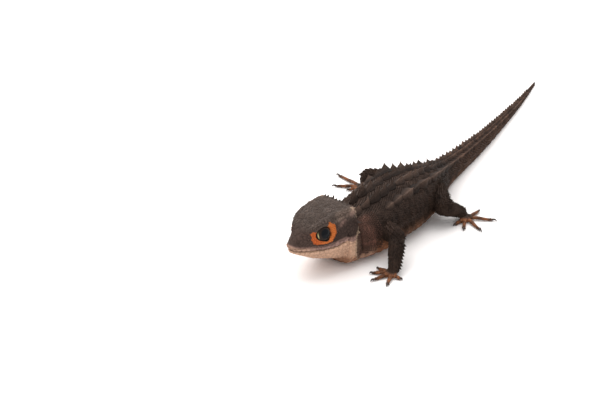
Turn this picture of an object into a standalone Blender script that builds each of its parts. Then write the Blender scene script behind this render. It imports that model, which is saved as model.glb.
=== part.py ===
"""Red-eyed crocodile skink, life size, standing still with its head raised and its tail along the floor.

The animal faces -Y, its left side is +X, and the floor is z = 0. Sizes are in millimetres, and
mesh_object() turns them into metres. Each named object is one piece of the body, and pieces that meet keep
GAP between them.
"""

import math
import random

import bpy
from mathutils import Matrix, Vector

MM = 0.001
GAP = 0.3

# The midline from the back of the head to the tip of the tail: y, x, half width, top and bottom.
BODY = (
    (-26.0, 1.0, 9.0, 16.0, 1.2),
    (-21.0, 0.9, 9.3, 16.1, 0.5),
    (-16.0, 1.2, 10.1, 16.6, 0.2),
    (-10.0, 1.0, 11.0, 17.6, 0.2),
    (-1.0, 0.2, 11.3, 18.7, 0.4),
    (8.0, -0.4, 11.2, 18.8, 0.6),
    (17.0, -1.4, 10.0, 17.8, 0.8),
    (26.0, -3.0, 8.1, 15.8, 1.2),
    (35.0, -5.4, 5.9, 13.0, 1.2),
    (45.0, -8.8, 4.2, 10.2, 0.2),
    (57.0, -12.3, 3.6, 8.3, -0.3),
    (72.0, -16.4, 3.05, 6.7, -0.3),
    (88.0, -21.0, 2.5, 5.1, -0.3),
    (105.0, -26.4, 2.0, 3.6, -0.3),
    (122.0, -31.9, 1.4, 2.4, -0.3),
    (137.0, -37.2, 0.9, 1.6, -0.3),
    (150.0, -42.2, 0.5, 1.0, -0.3),
)
# Exponents of the cross-section's upper and lower halves: 2 is an ellipse, more is boxier.
UPPER_ROUND = 2.5
LOWER_ROUND = 4.2
NECK_FRONT = -21.4
NECK_REAR = -10.5
TORSO_REAR = 37.0
TAIL_BASE_REAR = 72.0
TAIL_MID_REAR = 110.0
TAIL_END = 150.0

# Four rows of keeled scutes run from the nape to the tail: for the inner and the outer pair, the angle
# round the body in degrees, how far a row is set back against the first in pitches, and its size.
SCUTE_ROWS = ((80.0, 0.0, 1.0), (49.0, 0.5, 1.15))
# Two scutes stand this far apart, and this much more for each millimetre of the body's half width.
PITCH_LEAST = 1.96
PITCH_SHARE = 0.25
# A scute is as tall as the first of these, and the second for each millimetre of the body's half width.
SPINE_LEAST = 0.35
SPINE_SHARE = 0.11
FIRST_SCUTE = -17.6
LAST_SCUTE = 139.0
# The inner rows' tallest spines stand between these two places, this many times as tall as the rest.
NAPE = (-14.0, -8.0)
NAPE_SPINE = 1.8
# How much taller the outer rows stand at places along the body.
OUTER_HEIGHT = ((-18.0, 0.55), (-8.0, 0.6), (0.0, 0.9), (8.0, 1.2), (30.0, 1.2), (45.0, 1.0), (150.0, 1.0))
# Smaller tubercles in rows along each flank, clear of the legs: angle and size.
FLANK_ROWS = ((24.0, 0.75), (4.0, 0.65))
FLANK_START = -3.0
FLANK_END = 14.0

# The head at stations along it: y, half width of the flat crown, of the cheek and of the jaw,
# then the heights of the crown, the cheek's widest line, and the throat.
HEAD = (
    (-45.5, 0.8, 1.2, 0.8, 13.4, 12.5, 11.4),
    (-45.0, 1.4, 2.2, 1.6, 14.5, 12.3, 10.2),
    (-43.4, 1.9, 3.1, 2.4, 15.9, 12.1, 8.9),
    (-40.6, 3.3, 4.3, 3.5, 18.2, 11.8, 7.4),
    (-37.6, 4.9, 5.9, 4.9, 19.8, 11.5, 6.1),
    (-34.6, 5.6, 7.2, 6.0, 20.6, 11.3, 5.1),
    (-31.0, 5.9, 8.2, 7.0, 21.2, 11.0, 4.0),
    (-27.0, 6.4, 9.0, 7.9, 21.3, 10.8, 2.8),
    (-24.0, 7.0, 9.4, 8.5, 21.1, 10.6, 1.9),
    (-21.7, 7.1, 9.3, 8.4, 20.7, 10.4, 1.5),
)
# The line of the mouth in side view, y and z, then down behind its corner to the throat.
MOUTH = ((-52.0, 11.6), (-46.0, 11.3), (-42.0, 10.4), (-37.0, 10.0), (-32.0, 10.2), (-28.0, 10.9))
JAW_REAR = ((-26.6, 8.6), (-24.4, -4.0))

EYE_CENTRE = (4.2, -35.8, 15.2)
EYE_RADIUS = 3.3
# The ring of lid scales: the way the eye looks, how far out the ring stands, its half length, half
# height and thickness.
EYE_LOOKS = (0.92, -0.2, 0.3)
LID_OUT = 1.6
LID_LENGTH = 3.9
LID_HEIGHT = 3.3
LID_THICK = 0.65

LIP_RADIUS = 0.55
LIP_FRONT = -45.1
LIP_REAR = -28.6
NOSTRIL = (-44.3, 13.9)
NOSTRIL_RADIUS = 0.45
EAR = (-27.0, 11.9)
EAR_RADII = (0.9, 0.8, 1.7)

# The casque over the head: its edge from the snout to the rear corner, then the points behind.
CASQUE_EDGE = (
    (2.1, -42.8, 16.2), (3.1, -41.2, 17.4), (4.6, -38.4, 19.1), (5.6, -34.6, 20.1),
    (5.9, -30.5, 20.7), (6.9, -23.4, 20.5),
)
CASQUE_EDGE_SIZES = (0.5, 0.8, 1.2, 1.3, 1.0, 1.1)
CASQUE_EDGE_RADIUS = 0.6
CASQUE_SPINES = ((6.8, -23.4, 20.3, 1.7), (4.4, -23.2, 20.8, 1.2), (2.1, -23.1, 21.0, 1.8))
# The raised rear edge of the cheek, y and z, and the spines on it with their lengths.
CHEEK_EDGE = ((-22.9, 16.8), (-22.7, 13.4), (-22.7, 9.8), (-23.2, 6.6), (-23.9, 4.4))
CHEEK_EDGE_RADIUS = 0.6
JAW_SPINES = ((-23.0, 15.8, 2.2), (-23.0, 12.4, 1.3))
# Low plates on the casque: x, y, half width and half length. Those off the midline have a twin.
CROWN_PLATES = (
    (0.0, -42.6, 1.0, 0.9), (0.0, -40.0, 1.4, 1.2), (0.0, -36.6, 1.6, 1.7), (0.0, -32.4, 1.5, 1.7),
    (0.0, -28.2, 1.6, 1.6), (1.9, -41.2, 0.8, 1.1), (2.9, -37.9, 1.1, 1.3), (3.4, -34.2, 1.3, 1.6),
    (3.3, -30.2, 1.4, 1.6), (3.7, -26.2, 1.6, 1.5), (1.2, -24.6, 1.0, 1.1),
)
PLATE_RISE = 0.3

# Each leg: root inside the body, elbow or knee, wrist or ankle, and the radii at the three.
ARM = {
    "left": ((6.0, -9.0, 9.6), (16.8, -11.6, 8.8), (22.6, -20.0, 2.6)),
    "right": ((-6.0, -9.0, 8.6), (-14.6, -4.8, 6.6), (-18.6, -13.4, 2.6)),
}
ARM_RADII = (3.6, 2.8, 2.1)
LEG = {
    "left": ((1.0, 27.0, 8.2), (12.2, 19.0, 7.5), (13.2, 28.6, 2.6)),
    "right": ((-6.5, 26.0, 8.4), (-21.4, 18.5, 8.8), (-26.6, 22.6, 2.6)),
}
LEG_RADII = (4.5, 3.2, 2.1)
# Spiny scales on each length of a leg: places along it, and the rows' angles from its front edge.
LIMB_PLACES = (0.34, 0.5, 0.66, 0.82)
LIMB_ROWS = (72.0, 118.0, 168.0)
LIMB_SPINE = 1.0

# Toes: the tips as the photographed stance spreads them, x and y on the floor, from the inner toe out.
TOES = {
    "left_hand": ((15.6, -20.6), (16.2, -24.9), (20.0, -28.8), (26.1, -27.9), (27.1, -21.0)),
    "right_hand": ((-12.8, -16.6), (-13.6, -20.4), (-17.4, -22.6), (-22.4, -21.2), (-24.6, -14.8)),
    "left_foot": ((15.0, 21.6), (19.9, 21.0), (25.2, 24.5), (23.9, 34.9), (14.7, 37.3)),
    "right_foot": ((-27.2, 17.4), (-31.2, 17.6), (-37.8, 16.9), (-43.5, 25.6), (-33.6, 30.6)),
}
HAND_REACH = 2.6
FOOT_REACH = 3.6
TOE_RADIUS = 0.62
# A toe from its root to the claw's tip: how far along, its height, and its share of the radius.
TOE_LINE = (
    (0.0, 0.75, 1.0), (0.3, 0.95, 1.0), (0.6, 0.65, 0.9),
    (0.84, 0.5, 0.7), (0.93, 0.75, 0.42), (1.0, 0.15, 0.16),
)
PALM_RADII = (0.9, 1.6, 2.0, 1.2)
PALM_FLAT = 0.75


def clear_scene():
    for thing in list(bpy.data.objects):
        bpy.data.objects.remove(thing)


def material(name, colour, roughness):
    made = bpy.data.materials.new(name)
    made.use_nodes = True
    shader = made.node_tree.nodes["Principled BSDF"]
    shader.inputs["Base Color"].default_value = (*colour, 1.0)
    shader.inputs["Roughness"].default_value = roughness
    return made


def smooth(rows, at):
    """The row at this first value, on a smooth curve through all of them."""
    last = len(rows) - 1
    i = next((n for n in range(last) if at <= rows[n + 1][0]), last - 1)
    before, a, b, after = rows[max(i - 1, 0)], rows[i], rows[i + 1], rows[min(i + 2, last)]
    span = b[0] - a[0]
    t = (at - a[0]) / span
    found = []
    for k in range(1, len(a)):
        rise_a = (b[k] - before[k]) / (b[0] - before[0]) * span
        rise_b = (after[k] - a[k]) / (after[0] - a[0]) * span
        found.append(
            (2 * t**3 - 3 * t**2 + 1) * a[k]
            + (t**3 - 2 * t**2 + t) * rise_a
            + (3 * t**2 - 2 * t**3) * b[k]
            + (t**3 - t**2) * rise_b
        )
    return found


def mesh_object(name, points, faces):
    mesh = bpy.data.meshes.new(name)
    mesh.from_pydata([tuple(c * MM for c in p) for p in points], [], faces)
    mesh.validate()
    made = bpy.data.objects.new(name, mesh)
    bpy.context.scene.collection.objects.link(made)
    return made


def loft(name, rings):
    """A closed solid through rings of like count, which run anticlockwise seen from the last one."""
    count = len(rings[0])
    points = [p for ring in rings for p in ring]
    faces = [tuple(reversed(range(count)))]
    for r in range(len(rings) - 1):
        for i in range(count):
            j = (i + 1) % count
            a, b = r * count, (r + 1) * count
            faces.append((a + i, a + j, b + j, b + i))
    top = (len(rings) - 1) * count
    faces.append(tuple(range(top, top + count)))
    return mesh_object(name, points, faces)


def on_floor(point):
    return (point[0], point[1], max(point[2], 0.0))


def power(value, exponent):
    return math.copysign(abs(value) ** exponent, value)


def body_point(y, angle, grown=0.0):
    """A point of the trunk's or tail's skin: angle 0 is the left flank and a quarter turn is the back."""
    x, half, top, bottom = smooth(BODY, y)
    ahead = smooth(BODY, y + 0.5)[0] - smooth(BODY, y - 0.5)[0]
    side = Vector((1.0, -ahead, 0.0)).normalized()
    middle = bottom + 0.44 * (top - bottom)
    squareness = 2 / (UPPER_ROUND if math.sin(angle) > 0 else LOWER_ROUND)
    across = power(math.cos(angle), squareness) * (half + grown)
    rise = power(math.sin(angle), squareness)
    rise *= (top - middle if rise > 0 else middle - bottom) + grown
    return Vector((x, y, middle + rise)) + side * across


def body_frame(y, angle):
    """A point of the skin there, with the directions out of it and rearward along it."""
    rearward = (body_point(y + 0.5, angle) - body_point(y - 0.5, angle)).normalized()
    round_it = body_point(y, angle + 0.04) - body_point(y, angle - 0.04)
    return body_point(y, angle), rearward.cross(round_it).normalized(), rearward


def body_ring(y, count, grown=0.0):
    return [on_floor(body_point(y, 2 * math.pi * (i + 0.5) / count, grown)) for i in range(count)]


def body_length(name, start, end, steps, count):
    at = [start + (end - start) * i / steps for i in range(steps + 1)]
    # Rings that face +Y run the other way round from loft()'s order.
    return loft(name, [list(reversed(body_ring(y, count))) for y in at])


def head_ring(y, count=20):
    crown, cheek, jaw, top, middle, throat = smooth(HEAD, y)
    half = (
        (0.0, top + 0.25),
        (crown * 0.6, top + 0.1),
        (crown, top - 0.5),
        (crown * 0.55 + cheek * 0.45, top * 0.62 + middle * 0.38),
        (cheek, middle),
        (cheek * 0.35 + jaw * 0.65, middle * 0.5 + throat * 0.5),
        (jaw * 0.74, throat + 0.3),
        (0.0, throat),
    )
    rows = [(float(i), *p) for i, p in enumerate(half)]
    steps = count // 2
    right = [smooth(rows, i * (len(rows) - 1) / steps) for i in range(steps + 1)]
    left = [(-x, z) for x, z in reversed(right[1:-1])]
    return [(x, y, z) for x, z in right + left]


def tube(name, points, radii, count=10, flat=1.0):
    """A closed solid round a line of points. flat squeezes it in height."""
    line = [Vector(p) for p in points]
    rings = []
    for i, at in enumerate(line):
        ahead = (line[min(i + 1, len(line) - 1)] - line[max(i - 1, 0)]).normalized()
        side = ahead.cross(Vector((0.0, 0.0, 1.0)))
        if side.length < 0.05:
            side = Vector((1.0, 0.0, 0.0))
        side.normalize()
        up = side.cross(ahead)
        ring = []
        for k in range(count):
            turn = 2 * math.pi * (k + 0.5) / count
            ring.append(on_floor(at + radii[i] * (math.cos(turn) * side + flat * math.sin(turn) * up)))
        rings.append(list(reversed(ring)))
    return loft(name, rings)


def spine(foot, out, rearward, length, width, height, sides=4, sunk=0.7):
    """A keeled spine or scute that leans back, on a root sunk under the skin at its foot."""
    across = out.cross(rearward).normalized()
    back = across.cross(out)
    points = []
    for high, size, shift in ((-sunk, 1.0, 0.0), (0.5 * height, 0.56, 0.16)):
        for k in range(sides):
            turn = 2 * math.pi * k / sides
            along = (shift - 0.5 * size * math.cos(turn)) * length
            aside = -0.5 * size * math.sin(turn) * width
            points.append(foot + out * high + back * along + across * aside)
    points.append(foot + out * height + back * 0.55 * length)
    tip = len(points) - 1
    faces = [tuple(reversed(range(sides)))]
    for k in range(sides):
        n = (k + 1) % sides
        faces.append((k, n, sides + n, sides + k))
        faces.append((sides + k, sides + n, tip))
    return mesh_object("spine", points, faces)


def limb(name, start, end, start_radius, end_radius, grown=0.0, count=12):
    """One length of a leg, thickest a third of the way down, with round ends."""
    a, b = Vector(start), Vector(end)
    along = (b - a).normalized()
    places = []
    for turn in (80, 55, 28):
        t = math.radians(turn)
        r = start_radius + grown
        places.append((a - along * math.sin(t) * r, math.cos(t) * r))
    for t in (0.0, 0.3, 0.6, 1.0):
        swell = 1 + 0.12 * math.sin(math.pi * min(1.0, t * 1.2))
        r = (start_radius + (end_radius - start_radius) * t) * swell + grown
        places.append((a + (b - a) * t, r))
    for turn in (28, 55, 80):
        t = math.radians(turn)
        r = end_radius + grown
        places.append((b + along * math.sin(t) * r, math.cos(t) * r))
    return tube(name, [p for p, _ in places], [r for _, r in places], count)


def boolean(target, operation, tool, solver="EXACT"):
    """Applies one Boolean to the target. The tool is an object, or a list of objects to join."""
    change = target.modifiers.new("boolean", "BOOLEAN")
    change.operation = operation
    change.solver = solver
    tools = tool if isinstance(tool, list) else [tool]
    group = bpy.data.collections.new("tools")
    bpy.context.scene.collection.children.link(group)
    for piece in tools:
        bpy.context.scene.collection.objects.unlink(piece)
        group.objects.link(piece)
    change.operand_type = "COLLECTION"
    change.collection = group
    bpy.context.view_layer.update()
    graph = bpy.context.evaluated_depsgraph_get()
    result = bpy.data.meshes.new_from_object(target.evaluated_get(graph))
    target.modifiers.remove(change)
    target.data = result
    for piece in tools:
        bpy.data.objects.remove(piece)
    bpy.data.collections.remove(group)


def keep_largest(target):
    """Drops every closed surface of the mesh but the one of the largest box."""
    mesh = target.data
    links = list(range(len(mesh.vertices)))

    def root(i):
        while links[i] != i:
            links[i] = links[links[i]]
            i = links[i]
        return i

    for edge in mesh.edges:
        a, b = (root(v) for v in edge.vertices)
        links[a] = b
    groups = {}
    for vertex in mesh.vertices:
        groups.setdefault(root(vertex.index), []).append(vertex.index)
    if len(groups) == 1:
        return

    def spread(members):
        corners = [mesh.vertices[i].co for i in members]
        return math.prod(max(c[k] for c in corners) - min(c[k] for c in corners) for k in range(3))

    kept = max(groups.values(), key=spread)
    renumbered = {old: new for new, old in enumerate(kept)}
    points = [tuple(mesh.vertices[i].co) for i in kept]
    faces = [tuple(renumbered[v] for v in f.vertices) for f in mesh.polygons if f.vertices[0] in renumbered]
    fresh = bpy.data.meshes.new(target.name)
    fresh.from_pydata(points, [], faces)
    target.data = fresh


def prism(name, outline, reach):
    """A straight solid across the body, from -reach to reach in x, over an outline in y and z."""
    left = [(-reach, y, z) for y, z in outline]
    right = [(reach, y, z) for y, z in outline]
    count = len(outline)
    faces = [tuple(range(count)), tuple(reversed(range(count, 2 * count)))]
    for i in range(count):
        j = (i + 1) % count
        faces.append((i, i + count, j + count, j))
    return mesh_object(name, left + right, faces)


def ball(name, centre, radius, rows=9, columns=14):
    points = [(0.0, 0.0, -1.0)]
    for r in range(1, rows):
        high = math.pi * r / rows - math.pi / 2
        for c in range(columns):
            turn = 2 * math.pi * c / columns
            flat = math.cos(high)
            points.append((flat * math.cos(turn), flat * math.sin(turn), math.sin(high)))
    points.append((0.0, 0.0, 1.0))
    faces = [(0, 1 + (c + 1) % columns, 1 + c) for c in range(columns)]
    for r in range(rows - 2):
        low, up = 1 + r * columns, 1 + (r + 1) * columns
        for c in range(columns):
            n = (c + 1) % columns
            faces.append((low + c, low + n, up + n, up + c))
    low, last = 1 + (rows - 2) * columns, len(points) - 1
    faces += [(low + c, low + (c + 1) % columns, last) for c in range(columns)]
    x, y, z = centre
    placed = [(x + radius * a, y + radius * b, z + radius * c) for a, b, c in points]
    return mesh_object(name, placed, faces)


def finish(target, skin):
    target.data.materials.clear()
    target.data.materials.append(skin)
    target.data.shade_smooth()
    target.data.set_sharp_from_angle(angle=math.radians(35))


def offset_line(line, by):
    return [(y, z + by) for y, z in line]


def head_side(y, z):
    """How far out the side of the head is there, on the left."""
    ring = head_ring(y)
    half = ring[: len(ring) // 2 + 1]
    for (x0, _, z0), (x1, _, z1) in zip(half, half[1:]):
        if z1 <= z <= z0:
            return x0 + (x1 - x0) * (z0 - z) / (z0 - z1)
    return 0.0


def head_top(x, y):
    """How high the top of the head is there."""
    ring = head_ring(y)
    for (x0, _, z0), (x1, _, z1) in zip(ring, ring[1:]):
        if x0 <= x <= x1:
            return z0 + (z1 - z0) * (x - x0) / (x1 - x0)
    return 0.0


def head_stations():
    first, last = HEAD[0][0], HEAD[-1][0]
    fine = [first, first + 0.2, first + 0.5, first + 1.0, first + 1.8]
    steps = 13
    return fine + [first + 3.0 + (last - first - 3.0) * i / steps for i in range(steps + 1)]


def mouth_height(y):
    for (y0, z0), (y1, z1) in zip(MOUTH, MOUTH[1:]):
        if y0 <= y <= y1:
            return z0 + (z1 - z0) * (y - y0) / (y1 - y0)
    return MOUTH[-1][1]


def lip(above):
    """The raised row of scales along the mouth, from one corner round the snout to the other."""
    steps = 9
    side = []
    for i in range(steps + 1):
        y = LIP_FRONT + (LIP_REAR - LIP_FRONT) * (i / steps) ** 1.6
        z = mouth_height(y) + above
        side.append((head_side(y, z) - 0.15, y, z))
    front = (0.0, HEAD[0][0] - 0.1, mouth_height(HEAD[0][0]) + above)
    line = [(-x, y, z) for x, y, z in reversed(side)] + [front] + side
    sizes = [LIP_RADIUS * (0.6 if i in (0, len(line) - 1) else 1.0) for i in range(len(line))]
    return tube("lip", line, sizes, 6, 1.1)


def lid_ring(sign):
    """The ring of scales round an eye, as a closed bent tube."""
    looks = Vector(EYE_LOOKS).normalized()
    length = Vector((0, 1, 0)) - looks * looks.y
    length.normalize()
    height = looks.cross(length)
    if height.z < 0:
        height = -height
    middle = Vector(EYE_CENTRE) + looks * LID_OUT
    count, sides = 18, 5
    points = []
    for i in range(count):
        turn = 2 * math.pi * i / count
        ray = length * math.cos(turn) * LID_LENGTH + height * math.sin(turn) * LID_HEIGHT
        away = ray.normalized()
        for k in range(sides):
            bend = 2 * math.pi * k / sides
            p = middle + ray + (away * math.cos(bend) + looks * math.sin(bend)) * LID_THICK
            points.append((sign * p.x, p.y, p.z))
    faces = []
    for i in range(count):
        for k in range(sides):
            a, b = i * sides, (i + 1) % count * sides
            n = (k + 1) % sides
            face = (a + k, b + k, b + n, a + n)
            faces.append(face if sign > 0 else tuple(reversed(face)))
    return mesh_object("lid", points, faces)


def crown_plate(x, y, half_width, half_length):
    """A low six-sided plate of the casque."""
    sides = 6
    rings = []
    for rise, size in ((-0.6, 1.0), (PLATE_RISE, 0.75)):
        ring = []
        for k in range(sides):
            turn = 2 * math.pi * (k + 0.5) / sides
            px, py = x + size * half_width * math.cos(turn), y + size * half_length * math.sin(turn)
            ring.append((px, py, head_top(abs(px), py) + rise))
        rings.append(ring)
    return loft("plate", rings)


def head_forms():
    """All that is raised on the head above the mouth: casque, lids, lips, cheek edges and spines."""
    forms = [lip(0.85)]
    for sign in (1, -1):
        edge = [(sign * x, y, z) for x, y, z in CASQUE_EDGE]
        forms.append(tube("casque_edge", edge, [CASQUE_EDGE_RADIUS * r for r in CASQUE_EDGE_SIZES], 6))
        cheek = [(sign * (head_side(y, z) - 0.1), y, z) for y, z in CHEEK_EDGE]
        forms.append(tube("cheek_edge", cheek, [CHEEK_EDGE_RADIUS] * len(cheek), 6))
        forms.append(lid_ring(sign))
        for x, y, z, long in CASQUE_SPINES:
            out = Vector((sign * x * 0.05, 0.2, 1.0)).normalized()
            forms.append(spine(Vector((sign * x, y, z)), out, Vector((0, 1, 0)), 1.7, 1.6, long))
        for y, z, long in JAW_SPINES:
            out = Vector((sign * 0.95, 0.3, 0.1)).normalized()
            foot = Vector((sign * head_side(y, z), y, z))
            forms.append(spine(foot, out, Vector((0, 1, 0)), long * 0.9, 1.6, long * 0.6))
    for x, y, half_width, half_length in CROWN_PLATES:
        for sign in (1, -1) if x else (1,):
            forms.append(crown_plate(sign * x, y, half_width, half_length))
    return forms


def build_head(skin, jaw_skin, eye_skin):
    """The head and the lower jaw are one form, parted along the mouth, with an eye in each socket."""
    def whole(name):
        return loft(name, [head_ring(y) for y in head_stations()])

    head, jaw = whole("head"), whole("lower_jaw")
    line = list(MOUTH)
    above = [(-52.0, 40.0)] + offset_line(line, GAP / 2)
    above += [(y + GAP / 2, z) for y, z in JAW_REAR] + [(-10.0, -4.0), (-10.0, 40.0)]
    below = [(-52.0, -4.0)] + [(y - GAP / 2, z) for y, z in reversed(JAW_REAR)]
    below += list(reversed(offset_line(line, -GAP / 2)))
    boolean(head, "UNION", head_forms(), "MANIFOLD")
    boolean(jaw, "UNION", lip(-0.85), "MANIFOLD")
    boolean(head, "INTERSECT", prism("above", list(reversed(above)), 20.0), "MANIFOLD")
    boolean(jaw, "INTERSECT", prism("below", list(reversed(below)), 20.0), "MANIFOLD")
    for side, sign in (("left", 1), ("right", -1)):
        x, y, z = EYE_CENTRE
        centre = (sign * x, y, z)
        boolean(head, "DIFFERENCE", ball("socket", centre, EYE_RADIUS + GAP), "MANIFOLD")
        eye = ball("eye_" + side, centre, EYE_RADIUS)
        finish(eye, eye_skin)
        y, z = NOSTRIL
        pit = ball("nostril", (sign * head_side(y, z), y, z), NOSTRIL_RADIUS, 6, 8)
        y, z = EAR
        ear = ball("ear", (0, 0, 0), 1.0, 6, 10)
        ear.data.transform(Matrix.Diagonal((*EAR_RADII, 1.0)))
        ear.data.transform(Matrix.Translation(Vector((sign * (head_side(y, z) + 0.1), y, z)) * MM))
        boolean(head, "DIFFERENCE", [pit, ear], "MANIFOLD")
    for piece, look in ((head, skin), (jaw, jaw_skin)):
        keep_largest(piece)
        finish(piece, look)


def scute_places():
    """Where along the body each scute of a row stands, closer together as the body thins."""
    y, places = FIRST_SCUTE, []
    while y < LAST_SCUTE:
        pitch = PITCH_LEAST + PITCH_SHARE * smooth(BODY, y)[1]
        places.append((y, pitch))
        y += pitch
    return places


def scutes(start, end, draw):
    """The spiny scutes that stand on one length of the body, clear of its two cut ends."""
    made = []
    for place, pitch in scute_places():
        half_width = smooth(BODY, place)[1]
        for degrees, set_back, size in SCUTE_ROWS:
            length = pitch * 0.92
            y = place + set_back * pitch
            if not start < y < end:
                continue
            y = min(max(y, start + 0.5 * length + GAP), end - 0.6 * length - GAP)
            height = (SPINE_LEAST + SPINE_SHARE * half_width) * size
            if set_back > 0.0:
                height *= smooth(OUTER_HEIGHT, place)[0]
            elif NAPE[0] < place < NAPE[1]:
                height *= NAPE_SPINE
            width = min(0.62 * length, 0.55 * half_width) + 0.5
            for angle in (degrees, 180.0 - degrees):
                foot, out, rearward = body_frame(y, math.radians(angle))
                grown = height * draw.uniform(0.9, 1.1)
                sides = 6 if half_width > 5 else 4
                made.append(spine(foot, out, rearward, length, width, grown, sides))
    return made


def tubercles(draw):
    """Small spines in rows on the flanks between the legs."""
    made = []
    for row, (degrees, size) in enumerate(FLANK_ROWS):
        y = FLANK_START + 1.5 * row
        while y < FLANK_END:
            for angle in (degrees, 180.0 - degrees):
                foot, out, rearward = body_frame(y, math.radians(angle + draw.uniform(-2, 2)))
                made.append(spine(foot, out, rearward, 2.0, 1.4, size * draw.uniform(0.9, 1.1)))
            y += 3.0
    return made


def build_body(skin):
    half = GAP / 2
    draw = random.Random(7)
    lengths = (
        ("neck", NECK_FRONT + half, NECK_REAR - half, 5, 20),
        ("torso", NECK_REAR + half, TORSO_REAR - half, 16, 20),
        ("tail_base", TORSO_REAR + half, TAIL_BASE_REAR - half, 10, 16),
        ("tail_mid", TAIL_BASE_REAR + half, TAIL_MID_REAR - half, 8, 14),
        ("tail_tip", TAIL_MID_REAR + half, TAIL_END, 8, 12),
    )
    for name, start, end, steps, sides in lengths:
        piece = body_length(name, start, end, steps, sides)
        raised = scutes(start, end, draw)
        if name == "torso":
            raised += tubercles(draw)
        boolean(piece, "UNION", raised)
        keep_largest(piece)
        finish(piece, skin)


def grown_body():
    at = [NECK_FRONT + 1 + 2.0 * i for i in range(32)]
    return loft("grown_body", [list(reversed(body_ring(y, 20, GAP))) for y in at])


def from_line(point, start, end):
    """How far a point is from the straight line between two others."""
    a, b = Vector(start), Vector(end)
    t = min(max((point - a).dot(b - a) / (b - a).length_squared, 0.0), 1.0)
    return (point - a.lerp(b, t)).length


def limb_spines(start, end, start_radius, end_radius, rear_sign, next_to, draw):
    """Rows of spiny scales over the top and rear edge of one length of a leg, clear of the next length."""
    a, b = Vector(start), Vector(end)
    along = (b - a).normalized()
    side = along.cross(Vector((0, 0, 1))).normalized()
    up = side.cross(along)
    made = []
    for row, degrees in enumerate(LIMB_ROWS):
        turn = math.radians(degrees if rear_sign > 0 else 180.0 - degrees)
        for t in LIMB_PLACES:
            t += 0.04 * (row % 2)
            radius = start_radius + (end_radius - start_radius) * t
            out = side * math.cos(turn) + up * math.sin(turn)
            foot = a + (b - a) * t + out * radius
            if from_line(foot + out * 0.5 + along, *next_to[:2]) < next_to[2] + 1.2:
                continue
            size = LIMB_SPINE * (0.6 + 0.12 * radius) * draw.uniform(0.9, 1.1)
            made.append(spine(foot, out, along, 2.0, 1.3, size))
    return made


def build_limb(side, names, joints, radii, skin, draw):
    """Two lengths of a leg, each cut clear of the one that it grows from."""
    root, middle, end = joints
    rear = 1 if side == "left" else -1
    upper = limb(names[0] + "_" + side, root, middle, radii[0], radii[1])
    lower = limb(names[1] + "_" + side, middle, end, radii[1], radii[2])
    above, below = (root, middle, radii[1]), (middle, end, radii[1])
    boolean(upper, "UNION", limb_spines(root, middle, radii[0], radii[1], rear, below, draw))
    boolean(lower, "UNION", limb_spines(middle, end, radii[1], radii[2], rear, above, draw))
    boolean(upper, "DIFFERENCE", grown_body())
    boolean(lower, "DIFFERENCE", limb("grown_upper", root, middle, radii[0], radii[1], GAP))
    boolean(lower, "DIFFERENCE", grown_body())
    for piece in (upper, lower):
        keep_largest(piece)
        finish(piece, skin)


def build_foot(name, joints, radii, tips, reach, skin):
    """A palm and five toes with claws, cut clear of the leg above it."""
    _, middle, wrist = joints
    wrist = Vector(wrist)
    ends = [Vector((x, y, 0.0)) for x, y in tips]
    centre = sum(ends, Vector()) / len(ends)
    ahead = Vector((centre.x - wrist.x, centre.y - wrist.y, 0.0)).normalized()
    palm_end = Vector((wrist.x, wrist.y, 0.7)) + ahead * reach
    up = Vector((0, 0, 0.9))
    palm_line = [wrist + up, wrist - up, (wrist + palm_end) / 2 - Vector((0, 0, 0.5)), palm_end]
    palm = tube(name, palm_line, PALM_RADII, 12, PALM_FLAT)
    toes = []
    for number, tip in enumerate(ends):
        from_side = (number - 2) * 0.75
        side = Vector((-ahead.y, ahead.x, 0.0))
        if (tip - palm_end).dot(side) * from_side < 0:
            from_side = -from_side
        root = palm_end - ahead * 1.3 + side * from_side
        root.z = 0.75
        line, sizes = [], []
        for t, high, r in TOE_LINE:
            at = root.lerp(tip, t)
            line.append(Vector((at.x, at.y, high)))
            sizes.append(TOE_RADIUS * r)
        toes.append(tube("toe", line, sizes, 6))
    boolean(palm, "UNION", toes)
    boolean(palm, "DIFFERENCE", limb("grown_lower", middle, tuple(wrist), radii[1], radii[2], GAP))
    keep_largest(palm)
    finish(palm, skin)


def centre_on_floor():
    """Moves every piece so that the origin is on the floor, under the middle of the whole model's box."""
    corners = [v.co for piece in bpy.data.objects for v in piece.data.vertices]
    low = [min(c[k] for c in corners) for k in range(3)]
    high = [max(c[k] for c in corners) for k in range(3)]
    middle = Vector(((low[0] + high[0]) / 2, (low[1] + high[1]) / 2, low[2]))
    for piece in bpy.data.objects:
        piece.data.transform(Matrix.Translation(-middle))


def main():
    clear_scene()
    dark = material("dark_scales", (0.075, 0.058, 0.048), 0.6)
    crown = material("head_shield", (0.16, 0.13, 0.115), 0.65)
    cream = material("pale_throat", (0.62, 0.46, 0.33), 0.6)
    toe_skin = material("toe_scales", (0.30, 0.15, 0.07), 0.55)
    eye_skin = material("eye", (0.012, 0.015, 0.022), 0.08)
    build_head(crown, cream, eye_skin)
    build_body(dark)
    draw = random.Random(3)
    for side in ("left", "right"):
        build_limb(side, ("upper_arm", "forearm"), ARM[side], ARM_RADII, dark, draw)
        build_limb(side, ("thigh", "shank"), LEG[side], LEG_RADII, dark, draw)
        build_foot("hand_" + side, ARM[side], ARM_RADII, TOES[side + "_hand"], HAND_REACH, toe_skin)
        build_foot("foot_" + side, LEG[side], LEG_RADII, TOES[side + "_foot"], FOOT_REACH, toe_skin)
    centre_on_floor()


main()
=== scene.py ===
"""Red-eyed crocodile skink, life size: the looks of the still model.

The animal faces -Y, its left side is +X, and the floor is z = 0. Sizes and places are in millimetres on
the animal's own midline, and on_model() puts them into the frame, in metres.
"""

import math
import random

import bmesh
import bpy
import numpy as np
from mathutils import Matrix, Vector
from mathutils.bvhtree import BVHTree
from mathutils.kdtree import KDTree


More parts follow.
